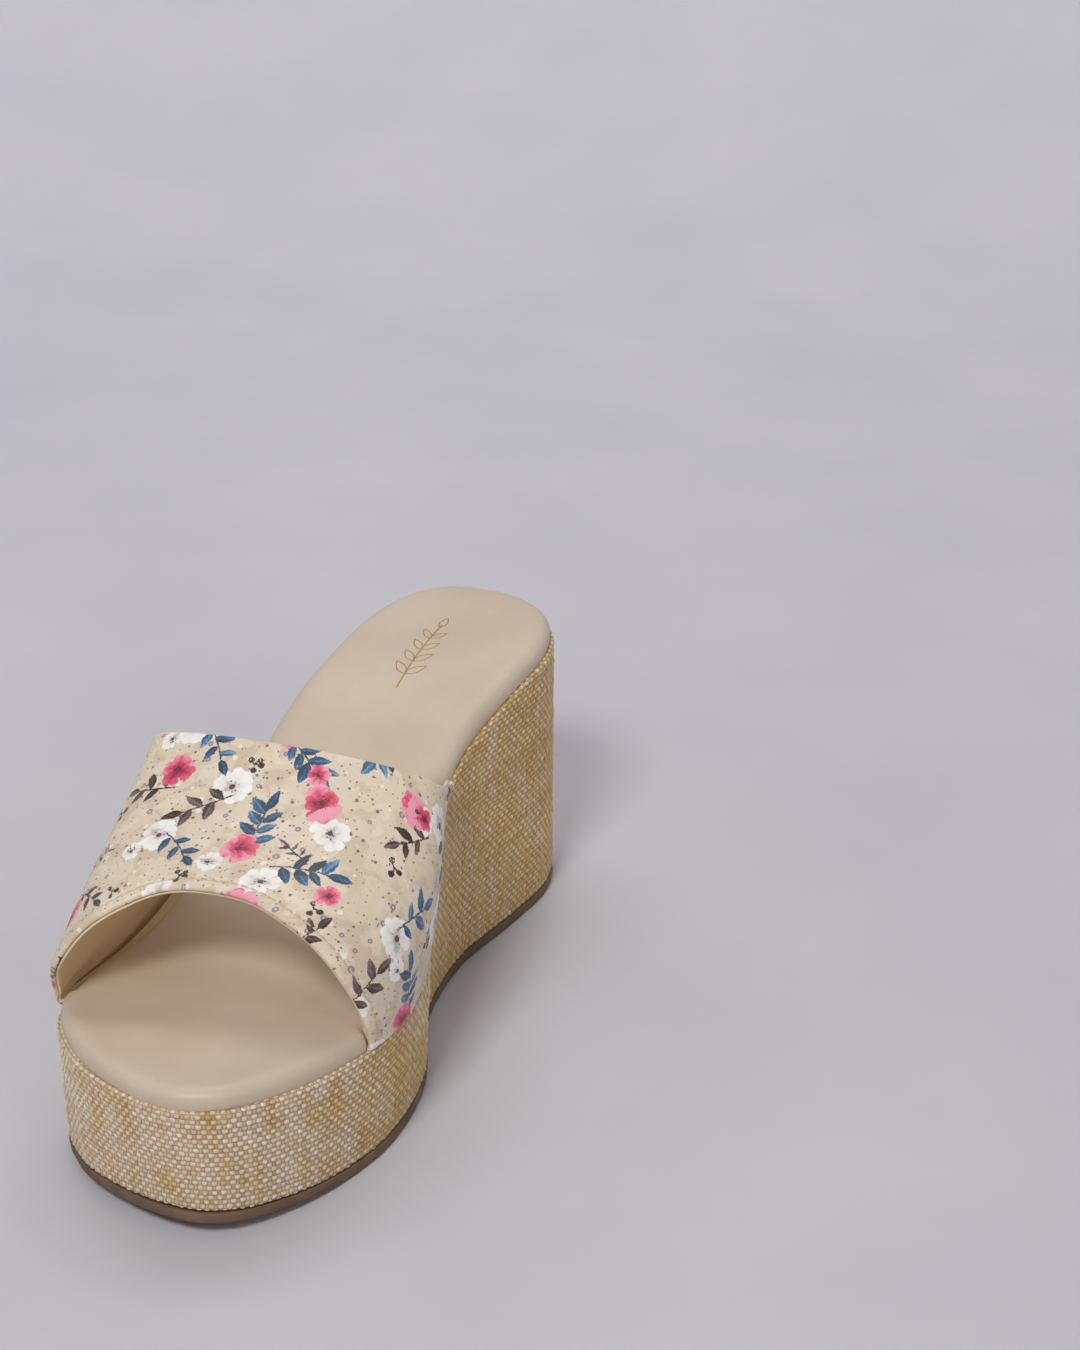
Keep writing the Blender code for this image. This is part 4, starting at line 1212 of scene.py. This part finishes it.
def make_stage(material):
    """A pale round sweep: a floor that curves up into a wall on every side."""
    profile = [(0.0, SWEEP_LEVEL), (SWEEP_FLOOR, SWEEP_LEVEL)]
    for degrees in range(5, 91, 5):
        angle = math.radians(degrees)
        profile.append((SWEEP_FLOOR + SWEEP_BEND * math.sin(angle),
                        SWEEP_LEVEL + SWEEP_BEND * (1 - math.cos(angle))))
    profile.append((SWEEP_FLOOR + SWEEP_BEND, SWEEP_HEIGHT))
    edit = bmesh.new()
    spine = [edit.verts.new((radius, 0.0, z)) for radius, z in profile]
    for a, b in zip(spine, spine[1:]):
        edit.edges.new((a, b))
    bmesh.ops.spin(edit, geom=edit.verts[:] + edit.edges[:], cent=(0, 0, 0), axis=(0, 0, 1),
                   angle=2 * math.pi, steps=128, use_merge=True)
    bmesh.ops.remove_doubles(edit, verts=edit.verts, dist=1e-5)
    bmesh.ops.recalc_face_normals(edit, faces=edit.faces)
    mesh = bpy.data.meshes.new("studio_sweep")
    edit.to_mesh(mesh)
    edit.free()
    mesh.materials.append(material)
    mesh.shade_smooth()
    sweep = bpy.data.objects.new("studio_sweep", mesh)
    bpy.context.scene.collection.objects.link(sweep)


def make_lights():
    """A soft window over the toes, two fills and a wash on the backdrop."""
    scene = bpy.context.scene
    world = bpy.data.worlds.new("studio_air")
    world.use_nodes = True
    sky = world.node_tree.nodes["Background"]
    sky.inputs["Color"].default_value = SKY_COLOUR
    sky.inputs["Strength"].default_value = SKY_STRENGTH
    scene.world = world
    scene.view_settings.view_transform = "Standard"
    for name, place, target, size, power, colour in LIGHTS:
        data = bpy.data.lights.new(name, "AREA")
        data.shape = "RECTANGLE"
        data.size, data.size_y = size
        data.energy = power
        data.color = colour
        lamp = bpy.data.objects.new(name, data)
        lamp.location = place
        toward = Vector(target) - Vector(place)
        lamp.rotation_euler = toward.to_track_quat("-Z", "Y").to_euler()
        lamp.visible_camera = False
        scene.collection.objects.link(lamp)


def make_camera():
    """The eye: in front of the toes, a little to the inner side, looking down."""
    forward = Vector(CAMERA_FORWARD).normalized()
    right = forward.cross(Vector((0, 0, 1))).normalized()
    tilt = Matrix((right, right.cross(forward), -forward)).transposed()
    data = bpy.data.cameras.new("eye")
    data.lens = CAMERA_LENS
    data.sensor_width = CAMERA_SENSOR
    camera = bpy.data.objects.new("eye", data)
    camera.rotation_mode = "QUATERNION"
    camera.rotation_quaternion = (tilt @ Matrix.Rotation(CAMERA_ROLL, 3, "Z")).to_quaternion()
    camera.location = CAMERA_PLACE
    bpy.context.scene.collection.objects.link(camera)
    bpy.context.scene.camera = camera


# ---------------------------------------------------------------- hidden pieces
BLOCKS = [
    # node, material, dark shade, light shade, scale of the specks, roughness
    ("wedge_core", "core_block", (176, 150, 116), (204, 182, 150), 900, 0.9),
    ("insole_board", "board_fibre", (128, 104, 78), (164, 138, 106), 1400, 0.85),
    ("insole_foam", "foam_cells", (224, 214, 192), (240, 232, 214), 2200, 0.95),
    ("strap_interlining", "felt_layer", (214, 212, 206), (236, 234, 230), 2600, 0.95),
]


def finish_hidden_nodes():
    """Materials for the CAD pieces that stay as they are, inside the sandal."""
    finishes = {node: block_material(*look) for node, *look in BLOCKS}
    finishes["shank"] = steel_material()
    for node, material in finishes.items():
        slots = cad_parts[node].data.materials
        slots.clear()
        slots.append(material)


def main():
    finish_hidden_nodes()
    make_wrap(straw_material())
    make_insole(smooth_leather("nude_leather", (198, 181, 159), (206, 190, 169),
                               (0.40, 0.50), 0.10))
    make_heel_sprig(foil_material())
    make_outsole(rubber_material())
    grid, face = make_strap(print_material())
    make_lining(smooth_leather("tan_leather", (230, 203, 160), (239, 215, 174),
                               (0.45, 0.56), 0.16, 60.0))
    make_stitches(thread_material(), grid, face)
    make_stage(floor_material())
    make_lights()
    make_camera()


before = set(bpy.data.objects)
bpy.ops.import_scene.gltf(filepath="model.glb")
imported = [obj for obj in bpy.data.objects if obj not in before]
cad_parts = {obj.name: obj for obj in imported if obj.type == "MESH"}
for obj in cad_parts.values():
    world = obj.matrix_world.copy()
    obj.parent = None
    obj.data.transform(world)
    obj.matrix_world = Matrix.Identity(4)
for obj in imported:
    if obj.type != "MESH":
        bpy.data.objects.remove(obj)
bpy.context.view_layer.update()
main()
